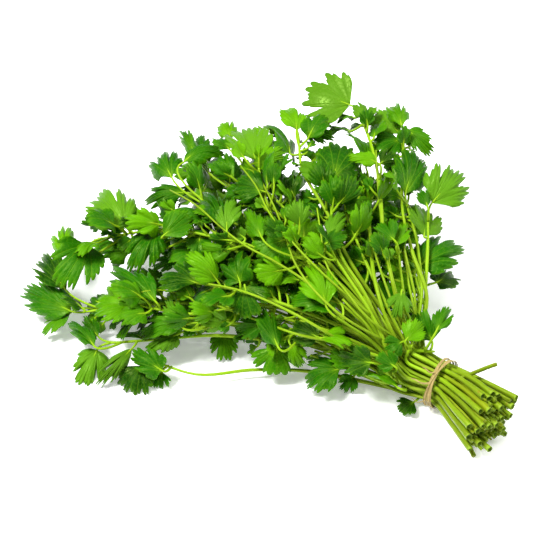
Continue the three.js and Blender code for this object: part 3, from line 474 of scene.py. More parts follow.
def smoothAlong(points, distances):
    # Cubic between neighbours, with each point's slope taken from the points beside it
    points = np.asarray(points, float)
    at = distancesAlong(points)
    last = len(points) - 1
    before = np.maximum(np.arange(last + 1) - 1, 0)
    after = np.minimum(np.arange(last + 1) + 1, last)
    slope = (points[after] - points[before]) / (at[after] - at[before])[:, None]
    distances = np.asarray(distances, float)
    k = np.clip(np.searchsorted(at, distances, side="left") - 1, 0, last - 1)
    span = (at[k + 1] - at[k])[:, None]
    t = np.clip((distances[:, None] - at[k][:, None]) / span, 0, 1)
    rise = t * t * (3 - 2 * t)
    bend = slope[k] * span * t * (1 - t) ** 2 - slope[k + 1] * span * t * t * (1 - t)
    return points[k] * (1 - rise) + points[k + 1] * rise + bend


slotMiddle = dict(y=0.2, z=-0.1, most=5)


def tieSlots(count):
    # Places in rows, each row half a step over from the last, nearest the middle first
    rowStep = stem["pitch"] * math.sqrt(3) / 2
    steps = range(-slotMiddle["most"], slotMiddle["most"] + 1)
    every = []
    for row in steps:
        for column in steps:
            y = (column + (0 if row % 2 == 0 else 0.5)) * stem["pitch"]
            every.append(dict(row=row, y=y, z=row * rowStep))
    middle = (slotMiddle["y"], slotMiddle["z"])
    every.sort(key=lambda slot: math.hypot(slot["y"] - middle[0], slot["z"] - middle[1]))
    return sorted(every[:count], key=lambda slot: (slot["row"], slot["y"]))


def giveSlots(sprigs):
    # The highest going stems in the top rows, each row in order of sideways direction
    slots = tieSlots(len(sprigs))

    def away(sprig):
        # The first place beyond the tie
        return sprig["through"][0] if sprig["through"] else sprig["leaves"][0]["base"]

    def upward(sprig):
        # Height above the tie's middle over level distance from it
        point = away(sprig)
        return (point[2] - tieOutside) / math.hypot(point[0], point[1])

    ranked = sorted(sprigs, key=upward)
    first = 0
    while first < len(slots):
        rowSlots = [slot for slot in slots if slot["row"] == slots[first]["row"]]
        rowSprigs = ranked[first:first + len(rowSlots)]
        rowSprigs.sort(key=lambda sprig: away(sprig)[1] / -away(sprig)[0])
        for slot, sprig in zip(rowSlots, rowSprigs):
            sprig["slot"] = slot
        first += len(rowSlots)


upperShares = np.array([0, 0.13, 0.3, 0.48, 0.66, 0.84, 1])
tieHalf = 4
firstLook = dict(waver=1.5, beyond=22, looser=1.12, short=7, middleUp=0.8, ground=0.3)


def firstLine(sprig, index):
    # Cut end, half way, both sides of the tie, then out to just short of the end leaf. The length
    # past the tie is drawn between two limits, less a slope toward the camera.
    look, random = firstLook, seeded(seeds["line"] + index)
    y, z = sprig["slot"]["y"], sprig["slot"]["z"]

    def inTie(x, spread):
        # The stem's slot in the bundle, times a spread
        return vec(x, y * spread, tieOutside + z * spread)

    waver = look["waver"]
    front = -lookAhead[1] * y - lookAhead[2] * z
    shorter = cutLength["slope"] * min(max(front / cutLength["rim"], 0), 1)
    length = mix(cutLength["least"], cutLength["most"], random()) - shorter
    sideways = y * flare["sideways"] + flare["drift"] + mix(-waver, waver, random())
    height = flare["rise"] + z * flare["upward"] + mix(-waver, waver, random())
    cutEnd = vec(length, sideways, max(height, stem["cut"] + look["ground"]))
    base, tip = sprig["leaves"][0]["base"], sprig["leaves"][0]["tip"]
    last = sprig["through"][-1] if sprig["through"] else inTie(-tieHalf, 1)
    end = base - unit(unit(tip - base) + unit(base - last)) * look["short"]
    points = np.array([
        inTie(-tieHalf, 1), inTie(-look["beyond"], look["looser"]), *sprig["through"], end,
    ])
    upper = smoothAlong(points, upperShares * lengths(points).sum())
    half = (cutEnd + inTie(tieHalf, 1)) / 2 + vec(0, 0, look["middleUp"])
    return np.vstack([cutEnd, half, inTie(tieHalf, 1), upper])


upperUntil = 0.6


def lineRadii(count):
    # Thick at the cut end, even through the tie, thinner outward in two straight stretches
    share = np.clip((np.arange(count) - 3) / (count - 4), 0, 1)
    outer = np.where(
        share < upperUntil,
        mix(stem["tie"], stem["upper"], share / upperUntil),
        mix(stem["upper"], stem["tip"], (share - upperUntil) / (1 - upperUntil)),
    )
    outer[:4] = [stem["cut"], mix(stem["cut"], stem["tie"], 0.5), stem["tie"], stem["tie"]]
    return outer


def nearest(a, b, c, d):
    # Closest places on two straight pieces, for whole arrays of pairs: each piece's share along,
    # where the joining line is square to both or held to their ends, and the gap between them
    ab, cd, ca = b - a, d - c, a - c
    abab, cdcd, abcd = (ab * ab).sum(1), (cd * cd).sum(1), (ab * cd).sum(1)
    abca, cdca = (ab * ca).sum(1), (cd * ca).sum(1)
    area = np.maximum(abab * cdcd - abcd * abcd, 1e-9)
    s = np.clip((abcd * cdca - cdcd * abca) / area, 0, 1)
    t = np.clip((abcd * s + cdca) / cdcd, 0, 1)
    s = np.clip((abcd * t - abca) / abab, 0, 1)
    gap = ca + ab * s[:, None] - cd * t[:, None]
    return s, t, gap, np.linalg.norm(gap, axis=1)


pairMargin = 9


def closePairs(lines):
    # Pieces of different stems whose middles are near enough for them to touch
    count = lines.shape[1] - 1
    middle = ((lines[:, :-1] + lines[:, 1:]) / 2).reshape(-1, 3)
    half = (np.linalg.norm(lines[:, 1:] - lines[:, :-1], axis=2) / 2).ravel()
    owner, piece = np.divmod(np.arange(len(middle)), count)
    i, j = np.triu_indices(len(middle), 1)
    apart = np.linalg.norm(middle[i] - middle[j], axis=1)
    near = (owner[i] != owner[j]) & (apart < half[i] + half[j] + pairMargin)
    return owner[i[near]], piece[i[near]], owner[j[near]], piece[j[near]]


settling = dict(rounds=70, renewed=10, share=0.4, most=1.2, evened=0.3, ground=0.25, least=0.2)


def settle(lines, radii):
    # Pairs too close are pushed apart by a share of what they lack, shifts are evened out along
    # each stem, and no stem goes below the table
    homes = lines.copy()
    for number in range(settling["rounds"]):
        if number % settling["renewed"] == 0:
            p, i, q, j = closePairs(lines)
        s, t, gap, distance = nearest(lines[p, i], lines[p, i + 1], lines[q, j], lines[q, j + 1])
        room = mix(radii[p, i], radii[p, i + 1], s) + mix(radii[q, j], radii[q, j + 1], t)
        room = room + stem["gap"]
        short = room / np.maximum(distance, settling["least"]) - 1
        push = gap * (settling["share"] * short)[:, None]
        size = np.maximum(np.linalg.norm(push, axis=1), 1e-12)
        push *= (np.minimum(size, settling["most"]) / size * (distance < room))[:, None]
        shifts = np.zeros_like(lines)
        np.add.at(shifts, (p, i), push * (1 - s)[:, None])
        np.add.at(shifts, (p, i + 1), push * s[:, None])
        np.add.at(shifts, (q, j), push * (t - 1)[:, None])
        np.add.at(shifts, (q, j + 1), -push * t[:, None])
        moved = lines + shifts - homes
        around, beside = moved.copy(), (moved[:, 3:-2] + moved[:, 5:]) / 2
        around[:, 4:-1] = mix(moved[:, 4:-1], beside, settling["evened"])
        held = lines[:, 2:4].copy()
        lines = homes + around
        lines[:, :, 2] = np.maximum(lines[:, :, 2], radii + settling["ground"])
        lines[:, 2:4] = held
    return lines


tightSlack = 0.1


def thinWhereTight(lines, radii):
    # Each radius at most half of the room to the neighbours
    p, i, q, j = closePairs(lines)
    s, t, gap, distance = nearest(lines[p, i], lines[p, i + 1], lines[q, j], lines[q, j + 1])
    most = (distance - stem["gap"] + tightSlack) / 2
    for owner, piece in ((p, i), (p, i + 1), (q, j), (q, j + 1)):
        np.minimum.at(radii, (owner, piece), most)


startLook = dict(endBack=3, steps=8, slant=0.5)


def stalkStart(line, target, isEnd):
    # The line's nearest place to the leaf, stepped back toward the tie
    if isEnd:
        back = line[-2] - line[-1]
        return line[-1] + back * (startLook["endBack"] / np.linalg.norm(back))
    share = (np.arange(startLook["steps"]) / startLook["steps"])[None, :, None]
    points = line[4:-1, None] * (1 - share) + line[5:, None] * share
    distance = np.linalg.norm(points - target, axis=2)
    piece, step = np.unravel_index(np.argmin(distance), distance.shape)
    point, near = points[piece, step], line[piece + 4]
    back = unit(near - line[piece + 5])
    most = np.linalg.norm(point - near)
    return point + back * min(startLook["slant"] * distance[piece, step], most)


halfSpread = math.radians(66)
skyPull = 0.72
eyePull = 0.62
anyRoll = 16
leafShape = dict(
    arch=(0.04, 0.2), fold=(-0.16, 0.2), wave=(0.8, 1.9), phase=(0, 6.28), waves=(1.6, 2.6),
)
rimShape = dict(valley=0.38, valleyHalf=0.15, valleyDeep=0.2, narrowing=0.24)


def turned(v, axis, angle):
    # A vector turned about an axis at right angles to it
    return v * math.cos(angle) + np.cross(axis, v) * math.sin(angle)


def shapeLeaf(base, tip, wide, index, roll):
    # The blade's own directions, turned partly to the sky and partly to the camera, and its
    # arch, fold and waves, each drawn between its limits
    random = seeded(seeds["leaf"] + index)
    axis = tip - base
    length = np.linalg.norm(axis)
    axis = axis / length
    facing = vec(0, 0, skyPull) - lookAhead * eyePull
    normal = unit(facing - axis * (facing @ axis))
    normal = turned(normal, axis, math.radians(roll + mix(-anyRoll, anyRoll, random())))
    drawn = {name: mix(*limits, random()) for name, limits in leafShape.items()}
    return dict(
        drawn, base=base, length=length, wide=wide, axis=axis, normal=normal,
        across=np.cross(normal, axis), index=index,
    )


def rimReach(side):
    # The rim's distance from the base as a share of the length: three lobes, with a pointed
    # valley between each two
    shape = rimShape
    valley = np.maximum(0, 1 - np.abs(np.abs(side) - shape["valley"]) / shape["valleyHalf"])
    return (1 - shape["narrowing"] * side * side) * (1 - shape["valleyDeep"] * valley)


widestShare = 0.8


def bladePoint(leaf, out, side, reachShare=None, ripple=0):
    # Along by the cosine and across by the sine of the angle from the base, times the distance;
    # raised by arch, fold and waves
    share = rimReach(side) if reachShare is None else reachShare
    angle = halfSpread * side
    reach = out * share * leaf["length"]
    widest = widestShare * math.sin(halfSpread) * leaf["length"]
    along = reach * np.cos(angle)
    sideways = reach * np.sin(angle) * (leaf["wide"] / 2) / widest
    t = along / leaf["length"]
    height = leaf["arch"] * leaf["length"] * 4 * t * (1 - t) + leaf["fold"] * np.abs(sideways)
    waving = np.sin(leaf["waves"] * math.pi * side + leaf["phase"])
    height = height + leaf["wave"] * out * out * waving + ripple
    along, sideways, height = (value[..., None] for value in (along, sideways, height))
    point = leaf["base"] + leaf["axis"] * along + leaf["across"] * sideways
    point = point + leaf["normal"] * height
    point[..., 2] = np.maximum(point[..., 2], bladeFloor)
    return point


sampleStep = 1.4


def leafSamples(leaf, start):
    # Points at most a sample step apart over the blade and along its stalk
    rows = math.ceil(leaf["length"] / sampleStep)
    outs, sides = [], []
    for row in range(1, rows + 1):
        out = row / rows
        columns = math.ceil(out * (leaf["wide"] + leaf["length"] * 0.5) / sampleStep) + 1
        sides.append(2 * np.arange(columns + 1) / columns - 1)
        outs.append(np.full(columns + 1, out))
    blade = bladePoint(leaf, np.concatenate(outs), np.concatenate(sides))
    steps = math.ceil(np.linalg.norm(start - leaf["base"]) / sampleStep)
    share = (np.arange(2, steps + 1) / max(steps, 1))[:, None]
    return np.vstack([blade, start * (1 - share) + leaf["base"] * share])


taken = np.zeros(int(cells["count"].prod()), np.int16)


def cellOf(whole):
    # One number for a cell's three whole coordinates, counted along x, then y, then z
    x, y, z = whole[..., 0], whole[..., 1], whole[..., 2]
    return (z * cells["count"][1] + y) * cells["count"][0] + x


def take(points, reach, owner):
    # Marks every free cell whose middle is within reach of a point
    steps = math.ceil(np.max(reach) / cells["size"])
    around = np.arange(-steps, steps + 1)
    offsets = np.stack(np.meshgrid(around, around, around), -1).reshape(-1, 3)
    whole = np.floor((points - cells["low"]) / cells["size"]).astype(int)[:, None] + offsets
    middle = cells["low"] + (whole + 0.5) * cells["size"]
    away = np.linalg.norm(middle - points[:, None], axis=2)
    index = cellOf(whole[away <= np.reshape(reach, (-1, 1))])
    taken[index[taken[index] == 0]] = owner


def isClear(points, number, base):
    # Free, or the leaf's own stem, or a leaf of the same stem close to the base
    holder = taken[cellOf(np.floor((points - cells["low"]) / cells["size"]).astype(int))]
    close = np.linalg.norm(points - base, axis=1) < meetingReach
    fine = (holder == 0) | (holder == number) | ((holder % leafStep == number) & close)
    return bool(fine.all())


nudges = [0, 4, -4, 8, -8, 12, 16, -12, 20]
rolls = [0, 24, -24, 45]
shrinks = [1, 0.84, 0.7]
lowestBase = 2.2
lowestTip = 0.6


def placeLeaf(wanted, line, number, rank):
    # The first of the nudged, rolled or smaller tries that is clear
    for shrink in shrinks:
        for nudge in nudges:
            base = wanted["base"] - lookAhead * nudge
            tip = mix(base, wanted["tip"] - lookAhead * nudge, shrink)
            base[2] = max(base[2], lowestBase)
            tip[2] = max(tip[2], lowestTip)
            start = stalkStart(line, base, rank == 0)
            for roll in rolls:
                index = number * leafStep + rank
                leaf = shapeLeaf(base, tip, wanted["wide"] * shrink, index, roll)
                samples = leafSamples(leaf, start)
                if isClear(samples, number, base):
                    take(samples, bladeReach, (rank + 1) * leafStep + number)
                    return dict(leaf=leaf, start=start)
    return None


def layOut():
    # Every stem's line and radii, then a place for each leaf in turn
    sprigs = [seenLayout(sprig) for sprig in seenSprigs]
    sprigs += [hiddenLayout(sprig, len(sprigs) + k) for k, sprig in enumerate(hiddenSprigs)]
    giveSlots(sprigs)
    lines = np.array([firstLine(sprig, index) for index, sprig in enumerate(sprigs)])
    radii = np.tile(lineRadii(lines.shape[1]), (len(lines), 1))
    lines = settle(lines, radii)
    thinWhereTight(lines, radii)
    for number, (line, radius) in enumerate(zip(lines, radii)):
        for k in range(len(line) - 1):
            steps = math.ceil(np.linalg.norm(line[k + 1] - line[k]) / sampleStep)
            share = np.arange(steps + 1) / steps
            points = line[k] * (1 - share)[:, None] + line[k + 1] * share[:, None]
            take(points, mix(radius[k], radius[k + 1], share) + stemReach, number + 1)
    placed = [[] for sprig in sprigs]
    for rank in range(max(len(sprig["leaves"]) for sprig in sprigs)):
        for number, sprig in enumerate(sprigs):
            if rank < len(sprig["leaves"]):
                found = placeLeaf(sprig["leaves"][rank], lines[number], number + 1, rank)
                if found:
                    placed[number].append(found)
    return lines, radii, placed


lines, radii, placed = layOut()
print("laid out", len(lines), "stems and", sum(len(found) for found in placed), "leaves")

# The bunch's own middle: the tie's node shows how far it was moved from its layout
band = dict(wide=2.7, sway=0.8, steps=20)
bandAngles = 2 * np.pi * (np.arange(band["steps"]) + 0.5) / band["steps"]
bandSway = band["sway"] * np.sin(bandAngles - math.radians(tie["crossingTurn"]))
tieHigh = np.array(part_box("raffia_tie")[1]) * 1000
moved = vec(tieHigh[0] - bandSway.max() - band["wide"], tieHigh[1] - tieOutside, 0)
boxLow = np.array(cadLow) * 1000 - moved
boxHigh = np.array(cadHigh) * 1000 - moved

# Smaller leaves between the ones above, which the solid model leaves out
extra = dict(
    tries=14000, long=((16, 25), (11, 18), (7, 12)), wide=(0.85, 1.2), stalk=(3, 16),
    lean=(0.2, 1), spread=(0.4, 1.2), fall=-0.15, roll=(-75, 75), firstIndex=20000, owner=90,
    keptInFront=0.5, inside=1.0, lowest=0.4, reach=0.9, firstPiece=5, seed=7, compared=14,
)

# Where the leaves are thick as the camera sees them, and the whole bunch's outline, a little
# smaller than it is
leafyZone = [
    (62, 300), (44, 318), (24, 300), (22, 284), (40, 262), (48, 232), (66, 226), (95, 208),
    (150, 205), (178, 160), (228, 132), (285, 150), (330, 160), (352, 118), (400, 115),
    (425, 150), (418, 190), (408, 240), (392, 285), (345, 245), (318, 285), (330, 330),
    (296, 366), (225, 345), (150, 342), (100, 330),
]
wholeZone = [
    (52, 300), (60, 250), (92, 208), (150, 195), (188, 148), (230, 128), (290, 140), (315, 95),
    (350, 100), (400, 112), (430, 145), (425, 210), (424, 300), (428, 340), (395, 385), (330, 374),
    (225, 350), (140, 345), (90, 338),
]


def pixelOf(points):
    # Column, row and depth of points as the camera sees them: sideways and upward parts over
    # the part ahead, times the focal length in pixels
    far = points - eyePlace
    depth = far @ lookAhead
    column = eye["middle"] + eye["focal"] * (far @ lookRight) / depth
    row = eye["middle"] - eye["focal"] * (far @ lookUp) / depth
    return column, row, depth


def insideZone(columns, rows, zone):
    # True where a line going right from the point crosses the outline an odd number of times
    corner = np.array(zone, float)
    following = np.roll(corner, -1, axis=0)
    low, high = corner[:, 1] > rows[:, None], following[:, 1] > rows[:, None]
    slope = (following[:, 0] - corner[:, 0]) / (following[:, 1] - corner[:, 1] + 1e-9)
    crossing = corner[:, 0] + (rows[:, None] - corner[:, 1]) * slope
    return ((low != high) & (columns[:, None] < crossing)).sum(axis=1) % 2 == 1


stemPixels = pixelOf(np.vstack([line[3:] for line in lines]))


def hidesNothing(samples):
    # In the leafy part, or behind most of the stems seen there
    columns, rows, depth = pixelOf(samples)
    if insideZone(columns, rows, leafyZone).all():
        return True
    if not insideZone(columns, rows, wholeZone).all():
        return False
    apart = np.hypot(stemPixels[0] - columns.mean(), stemPixels[1] - rows.mean())
    return depth.min() > np.median(stemPixels[2][np.argsort(apart)[:extra["compared"]]])


# Thin stalks that cross over the leaves, from where each comes into sight down into the bundle
crossings = [
    dict(stem=20, size=1.15, at=((198, 282), (242, 291), (283, 308), (321, 329), (354, 347))),
    dict(stem=12, size=1.0, at=(
        (262, 182), (274, 206), (285, 234), (295, 263), (314, 290), (345, 318), (384, 346),
    )),
    dict(stem=14, size=0.95, at=(
        (317, 208), (321, 234), (327, 266), (345, 290), (366, 316), (396, 344),
    )),
    dict(stem=16, size=1.0, at=(
        (343, 198), (348, 222), (356, 252), (364, 284), (380, 315), (402, 346),
    )),
    dict(stem=18, size=0.9, at=(
        (376, 150), (378, 190), (384, 241), (391, 276), (402, 312), (412, 344),
    )),
    dict(stem=24, size=0.95, at=(
        (170, 190), (196, 205), (222, 228), (246, 246), (276, 262), (310, 285), (350, 318),
    )),
    dict(stem=22, size=1.0, at=(
        (118, 298), (160, 290), (205, 302), (252, 318), (296, 334), (326, 343),
    )),
    dict(stem=26, size=0.85, at=(
        (240, 165), (256, 186), (270, 214), (296, 246), (330, 280), (366, 314),
    )),
]
crossLook = dict(
    near=16, share=10, ahead=3, joining=7, lowest=2.5, points=26, keepOff=1.2, owner=95,
)
linePoints = 160


def evenly(points, count):
    # So many places at even distances along the smoothed line
    return smoothAlong(points, np.linspace(0, lengths(points).sum(), count))


def crossingLine(crossing):
    # Sight lines through the marks, at a smooth depth just before what stands near each of them,
    # down to the foremost stem near the last mark
    look = crossLook
    marks = np.array(crossing["at"], float)
    columns, rows, depth = bunchPixels
    front = [
        np.percentile(depth[np.hypot(columns - column, rows - row) < look["near"]], look["share"])
        for column, row in marks
    ]
    place = np.concatenate([[0], np.cumsum(np.hypot(*np.diff(marks, axis=0).T))])
    smooth = np.polyval(np.polyfit(place, front, 2), place) - look["ahead"]
    apart = np.hypot(densePixels[0] - marks[-1, 0], densePixels[1] - marks[-1, 1])
    joint = np.argmin(np.where(apart < look["joining"], densePixels[2], np.inf))
    points = eyePlace + smooth[:, None] * lookAlong(marks[:, :1], marks[:, 1:])
    points[-1] = densePoints[joint]
    line = evenly(points, look["points"])
    line[:, 2] = np.maximum(line[:, 2], look["lowest"])
    return line


densePoints = np.vstack([evenly(line, linePoints) for line in lines])
densePixels = pixelOf(densePoints)
bunchPixels = pixelOf(np.vstack([line[3:] for line in lines] + [
    leafSamples(each["leaf"], each["start"]) for found in placed for each in found
]))
crossed = [crossingLine(crossing) for crossing in crossings]
for number, line in enumerate(crossed):
    take(line, crossLook["keepOff"], crossLook["owner"] * leafStep + number + 1)


def extraLeaves():
    # Tries places along the upper stems, larger leaves first, and keeps those that are clear
    # and hide nothing; of those on the camera's side it drops a share
    random = np.random.default_rng(extra["seed"])
    found = [[] for line in lines]
    for k in range(extra["tries"]):
        number = k % len(lines)
        line = lines[number]
        place, turn, lean, size, width, stalk, roll, share = random.random(8)
        first = extra["firstPiece"]
        piece = min(int(first + place * (len(line) - first)), len(line) - 2)
        at = mix(line[piece], line[piece + 1], share)
        ahead = unit(line[piece + 1] - line[piece])
        side = unit(np.cross(ahead, vec(0, 0, 1)))
        out = turned(side, ahead, 2 * math.pi * turn)
        base = at + unit(out + ahead * mix(*extra["lean"], lean)) * mix(*extra["stalk"], stalk)
        heading = unit(out * mix(*extra["spread"], roll) + ahead + vec(0, 0, extra["fall"]))
        if out @ lookAhead < 0 and random.random() > extra["keptInFront"]:
            continue
        tip = base + heading * mix(*extra["long"][3 * k // extra["tries"]], size)
        wide = np.linalg.norm(tip - base) * mix(*extra["wide"], width)
        leaf = shapeLeaf(base, tip, wide, extra["firstIndex"] + k, mix(*extra["roll"], roll))
        samples = leafSamples(leaf, at)
        low, high = boxLow + extra["inside"], boxHigh - extra["inside"]
        inside = ((samples > low) & (samples < high)).all()
        above = samples[:, 2].min() > extra["lowest"]
        if inside and above and hidesNothing(samples) and isClear(samples, number + 1, base):
            take(samples, extra["reach"], extra["owner"] * leafStep + number + 1)
            found[number].append(dict(leaf=leaf, start=at, small=True))
    return found


for own, more in zip(placed, extraLeaves()):
    own.extend(more)
print("leaves in all", sum(len(found) for found in placed))

floorGap = 0.05
leafIndex, stemIndex, raffiaIndex = 0, 1, 0
bare = (0, 0, 0, 0)


def newPiece():
    # Empty lists for the arrays that become one mesh
    return dict(points=[], quads=[], uv=[], values=[], materials=[], count=0)


def addPart(piece, points, quads, uv, values, material):
    # Adds points with their map places and their four values, and the faces on them
    points = np.asarray(points).reshape(-1, 3)
    piece["points"].append(points)
    piece["quads"].append(np.asarray(quads) + piece["count"])
    piece["uv"].append(np.asarray(uv, float).reshape(-1, 2))
    piece["values"].append(np.broadcast_to(values, (len(points), 4)))
    piece["materials"].append(np.full(len(quads), material))
    piece["count"] += len(points)


def makePiece(name, piece, materials, slot, *nodes):
    # One mesh object in metres, riding on the only body in place of its solid nodes
    points = (np.vstack(piece["points"]) + moved) / 1000
    points[:, 2] = np.maximum(points[:, 2], floorGap / 1000)
    faces = np.vstack(piece["quads"])
    mesh = bpy.data.meshes.new(name)
    mesh.from_pydata(points.tolist(), [], [
        face[:3] if face[3] == face[2] else face for face in faces.tolist()
    ])
    mesh.polygons.foreach_set("use_smooth", np.ones(len(faces), bool))
    mesh.polygons.foreach_set("material_index", np.concatenate(piece["materials"]).astype(np.int32))
    corner = np.zeros(len(mesh.loops), np.int32)
    mesh.loops.foreach_get("vertex_index", corner)
    layer = mesh.uv_layers.new(name="surfaceMap")
    layer.uv.foreach_set("vector", np.vstack(piece["uv"])[corner].astype(np.float32).ravel())
    values = np.vstack(piece["values"]).astype(np.float32)
    for k, label in enumerate(("tint", "under", "rootward", "cut")):
        attribute = mesh.attributes.new(label, "FLOAT", "POINT")
        attribute.data.foreach_set("value", np.ascontiguousarray(values[:, k]))
    for material in materials:
        mesh.materials.append(material)
    mesh.update()
    made = bpy.data.objects.new(name, mesh)
    bpy.context.scene.collection.objects.link(made)
    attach(made, "root")
    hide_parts(*nodes)


def sheetQuads(rows, columns):
    # Upper grid, lower grid turned over, and a wall round the edge
    index = np.arange(rows * columns).reshape(rows, columns)
    under = index + rows * columns
    corners = (index[:-1, :-1], index[1:, :-1], index[1:, 1:], index[:-1, 1:])
    upper = np.stack([c.ravel() for c in corners], 1)
    lower = upper[:, ::-1] + rows * columns
    edge = np.concatenate([index[:-1, 0], index[-1, :-1], index[:0:-1, -1], index[0, :0:-1]])
    onward = np.roll(edge, -1)
    wall = np.stack([edge, under.ravel()[edge], under.ravel()[onward], onward], 1)
    return np.vstack([upper, lower, wall])


def tubeQuads(rows, sides):
    # Round the rings, with each end closed by quads folded to triangles at its last point
    index = np.arange(rows * sides).reshape(rows, sides)
    onward = np.roll(index, -1, axis=1)
    side = np.stack([index[:-1], onward[:-1], onward[1:], index[1:]], -1).reshape(-1, 4)
    first = np.full(sides, rows * sides)
    start = np.stack([onward[0], index[0], first, first], 1)
    end = np.stack([index[-1], onward[-1], first + 1, first + 1], 1)
    return np.vstack([side, start, end])


def lengthMap(distances, sides):
    # Map places: the share of the way round, and the centimetres along, with one for each end
    u = np.tile(np.arange(sides) / sides, len(distances))
    return np.vstack([np.stack([u, np.repeat(distances, sides) / 10], 1), [[0, 0], [0, 0]]])


def withEnds(rings, centres):
    # The rings' points one after another, then the first and the last centre
    return np.vstack([rings.reshape(-1, 3), centres[:1], centres[-1:]])


def ringsAlong(centres, radius, sides, ribs, ribDepth):
    # Circles whose radius follows a cosine for the ribs, square to the line and carried along it
    # without twisting
    ahead = np.gradient(centres, axis=0)
    ahead /= np.linalg.norm(ahead, axis=1)[:, None]
    angle = 2 * np.pi * np.arange(sides) / sides
    rib = 1 - ribDepth * (0.5 - 0.5 * np.cos(ribs * angle))
    sideways = vec(0, 1, 0)
    rings = []
    for point, forward, size in zip(centres, ahead, radius):
        sideways = unit(sideways - forward * (sideways @ forward))
        upward = np.cross(forward, sideways)
        ring = np.outer(np.cos(angle) * rib, sideways) + np.outer(np.sin(angle) * rib, upward)
        rings.append(point + ring * size)
    return np.array(rings)


def addTube(piece, rings, centres, values):
    # Rings joined and closed at both ends, with the length along them in the map's second place
    rows, sides = rings.shape[:2]
    uv = lengthMap(distancesAlong(centres), sides)
    addPart(piece, withEnds(rings, centres), tubeQuads(rows, sides), uv, values, stemIndex)


# Stems: a ribbed tube, its cut face slanted a little and hollow inside the rim
stemLook = dict(
    steps=46, sides=15, ribs=5, ribDepth=0.16, knobbly=0.07, slant=0.45, hollow=1.3,
    crowded=1.15, knobLength=11, knobTurn=6, tipSize=0.6, ragged=0.12, cutDeep=0.6,
    rim=((0.3, 1.0), (0.7, 0.9), (0.84, 0.35), (0.94, 0.0), (1.0, 0.25)),
)


def addStem(piece, line, radius, number):
    # The settled line smoothed, after rings that go from the hollow's floor over the rim; the
    # size follows the radii and swells and narrows in a wave along the length
    look, random = stemLook, np.random.default_rng(seeds["stem"] + number)
    at = distancesAlong(line)
    share = np.linspace(0, 1, look["steps"]) ** look["crowded"]
    distances = share * at[-1]
    centres = smoothAlong(line, distances)
    size = np.interp(distances, at, radius)
    turns = distances / look["knobLength"] + random.random() * look["knobTurn"]
    size *= 1 + look["knobbly"] * np.sin(turns)
    size[-1] *= look["tipSize"]
    wide, deep = np.array(look["rim"]).T
    ahead = unit(centres[1] - centres[0])
    capCentres = centres[0] + np.outer(deep * look["hollow"], ahead)
    centres = np.vstack([capCentres, centres[1:]])
    size = np.concatenate([size[0] * wide, size[1:]])
    rings = ringsAlong(centres, size, look["sides"], look["ribs"], look["ribDepth"])
    caps = len(wide)
    spokes = rings[caps] - centres[caps]
    spokes = (spokes - np.outer(spokes @ ahead, ahead)) / size[caps]
    tilt = unit(random.normal(size=3)) * look["slant"] * random.random()
    uneven = random.random(look["sides"]) * look["ragged"]
    spokes = spokes + np.outer(spokes @ tilt, ahead) + np.outer(uneven, ahead)
    rings[:caps] = centres[:caps, None] + spokes[None] * size[:caps, None, None]
    values = np.zeros((len(size), 4))
    values[:, 0] = random.random()
    values[:, 2] = np.concatenate([np.ones(caps), 1 - share[1:]])
    # Cut value: highest on the hollow's floor, where the stem material paints shade
    values[:caps, 3] = 1 - wide * look["cutDeep"]
    values = np.vstack([np.repeat(values, look["sides"], axis=0), values[:1], values[-1:]])
    addTube(piece, rings, centres, values)


# Short stalks with their leaves off, which fill the gaps between the cut ends
stubLook = dict(
    least=0.45, most=1.7, thin=0.15, gap=0.12, shares=(0, 0.3, 0.6, 0.85), ragged=4, inward=0.6,
    neighbours=5, lowest=2.5, seed=41,
)


def stubLines():
    # The middle of each three neighbouring cut ends, as thick as their gap allows
    look, random = stubLook, np.random.default_rng(stubLook["seed"])
    cuts = np.stack([
        smoothAlong(line[:4], np.linalg.norm(line[3] - line[0]) * np.array(look["shares"]))
        for line in lines
    ])
    cutSize = radii[:, 0]
    ends = cuts[:, 0]
    apart = np.linalg.norm(ends[:, None, 1:] - ends[None, :, 1:], axis=2)
    near = np.argsort(apart, axis=1)[:, 1:look["neighbours"] + 1]
    found, middles = [], []
    for first in range(len(lines)):
        for second, third in zip(near[first], near[first][1:]):
            three = [first, second, third]
            middle = cuts[three].mean(axis=0)
            longer = look["ragged"] * (random.random() - look["inward"])
            middle[0] += unit(middle[0] - middle[1]) * longer
            room = np.linalg.norm(middle[:, None] - cuts.transpose(1, 0, 2), axis=2)
            size = (room - cutSize).min(axis=1) - look["gap"]
            clear = all(
                np.linalg.norm(middle[0] - other) > size[0] + most for other, most in middles
            )
            if size[0] > look["least"] and clear and middle[:, 2].min() > look["lowest"]:
                size = np.clip(size, look["thin"], look["most"])
                found.append((first, middle, size))
                middles.append((middle[0], size[0]))
    return found


# Two stalks that stray from the cut ends, each from under the tie to where its end is seen
strays = [
    dict(stem=3, start=(438, 381, 25), end=(497, 364, 40), sag=5, size=1.5),
    dict(stem=9, start=(449, 408, 5), end=(474, 456, 2), sag=-3, size=1.7),
]
strayPoints = 12


def strayLine(stray):
    # A straight line between the two places, less a sag that is nothing at both ends
    first, final = seenAt(*stray["end"]), seenAt(*stray["start"])
    t = np.linspace(0, 1, strayPoints)[:, None]
    return mix(first, final, t) - vec(0, 0, stray["sag"]) * 4 * t * (1 - t) * t


# Bare leaf stalks that fill the fan just beyond the tie, each midway between two stems
fillLook = dict(
    points=14, reach=150, least=0.4, most=1.15, gap=0.15, neighbours=5, apart=2.2, lowest=1.2,
    thinning=0.55, shortest=3, narrow=(0.3, 0.25), ends=(0.5, 1), nearAt=4, apartAt=5, seed=52,
)


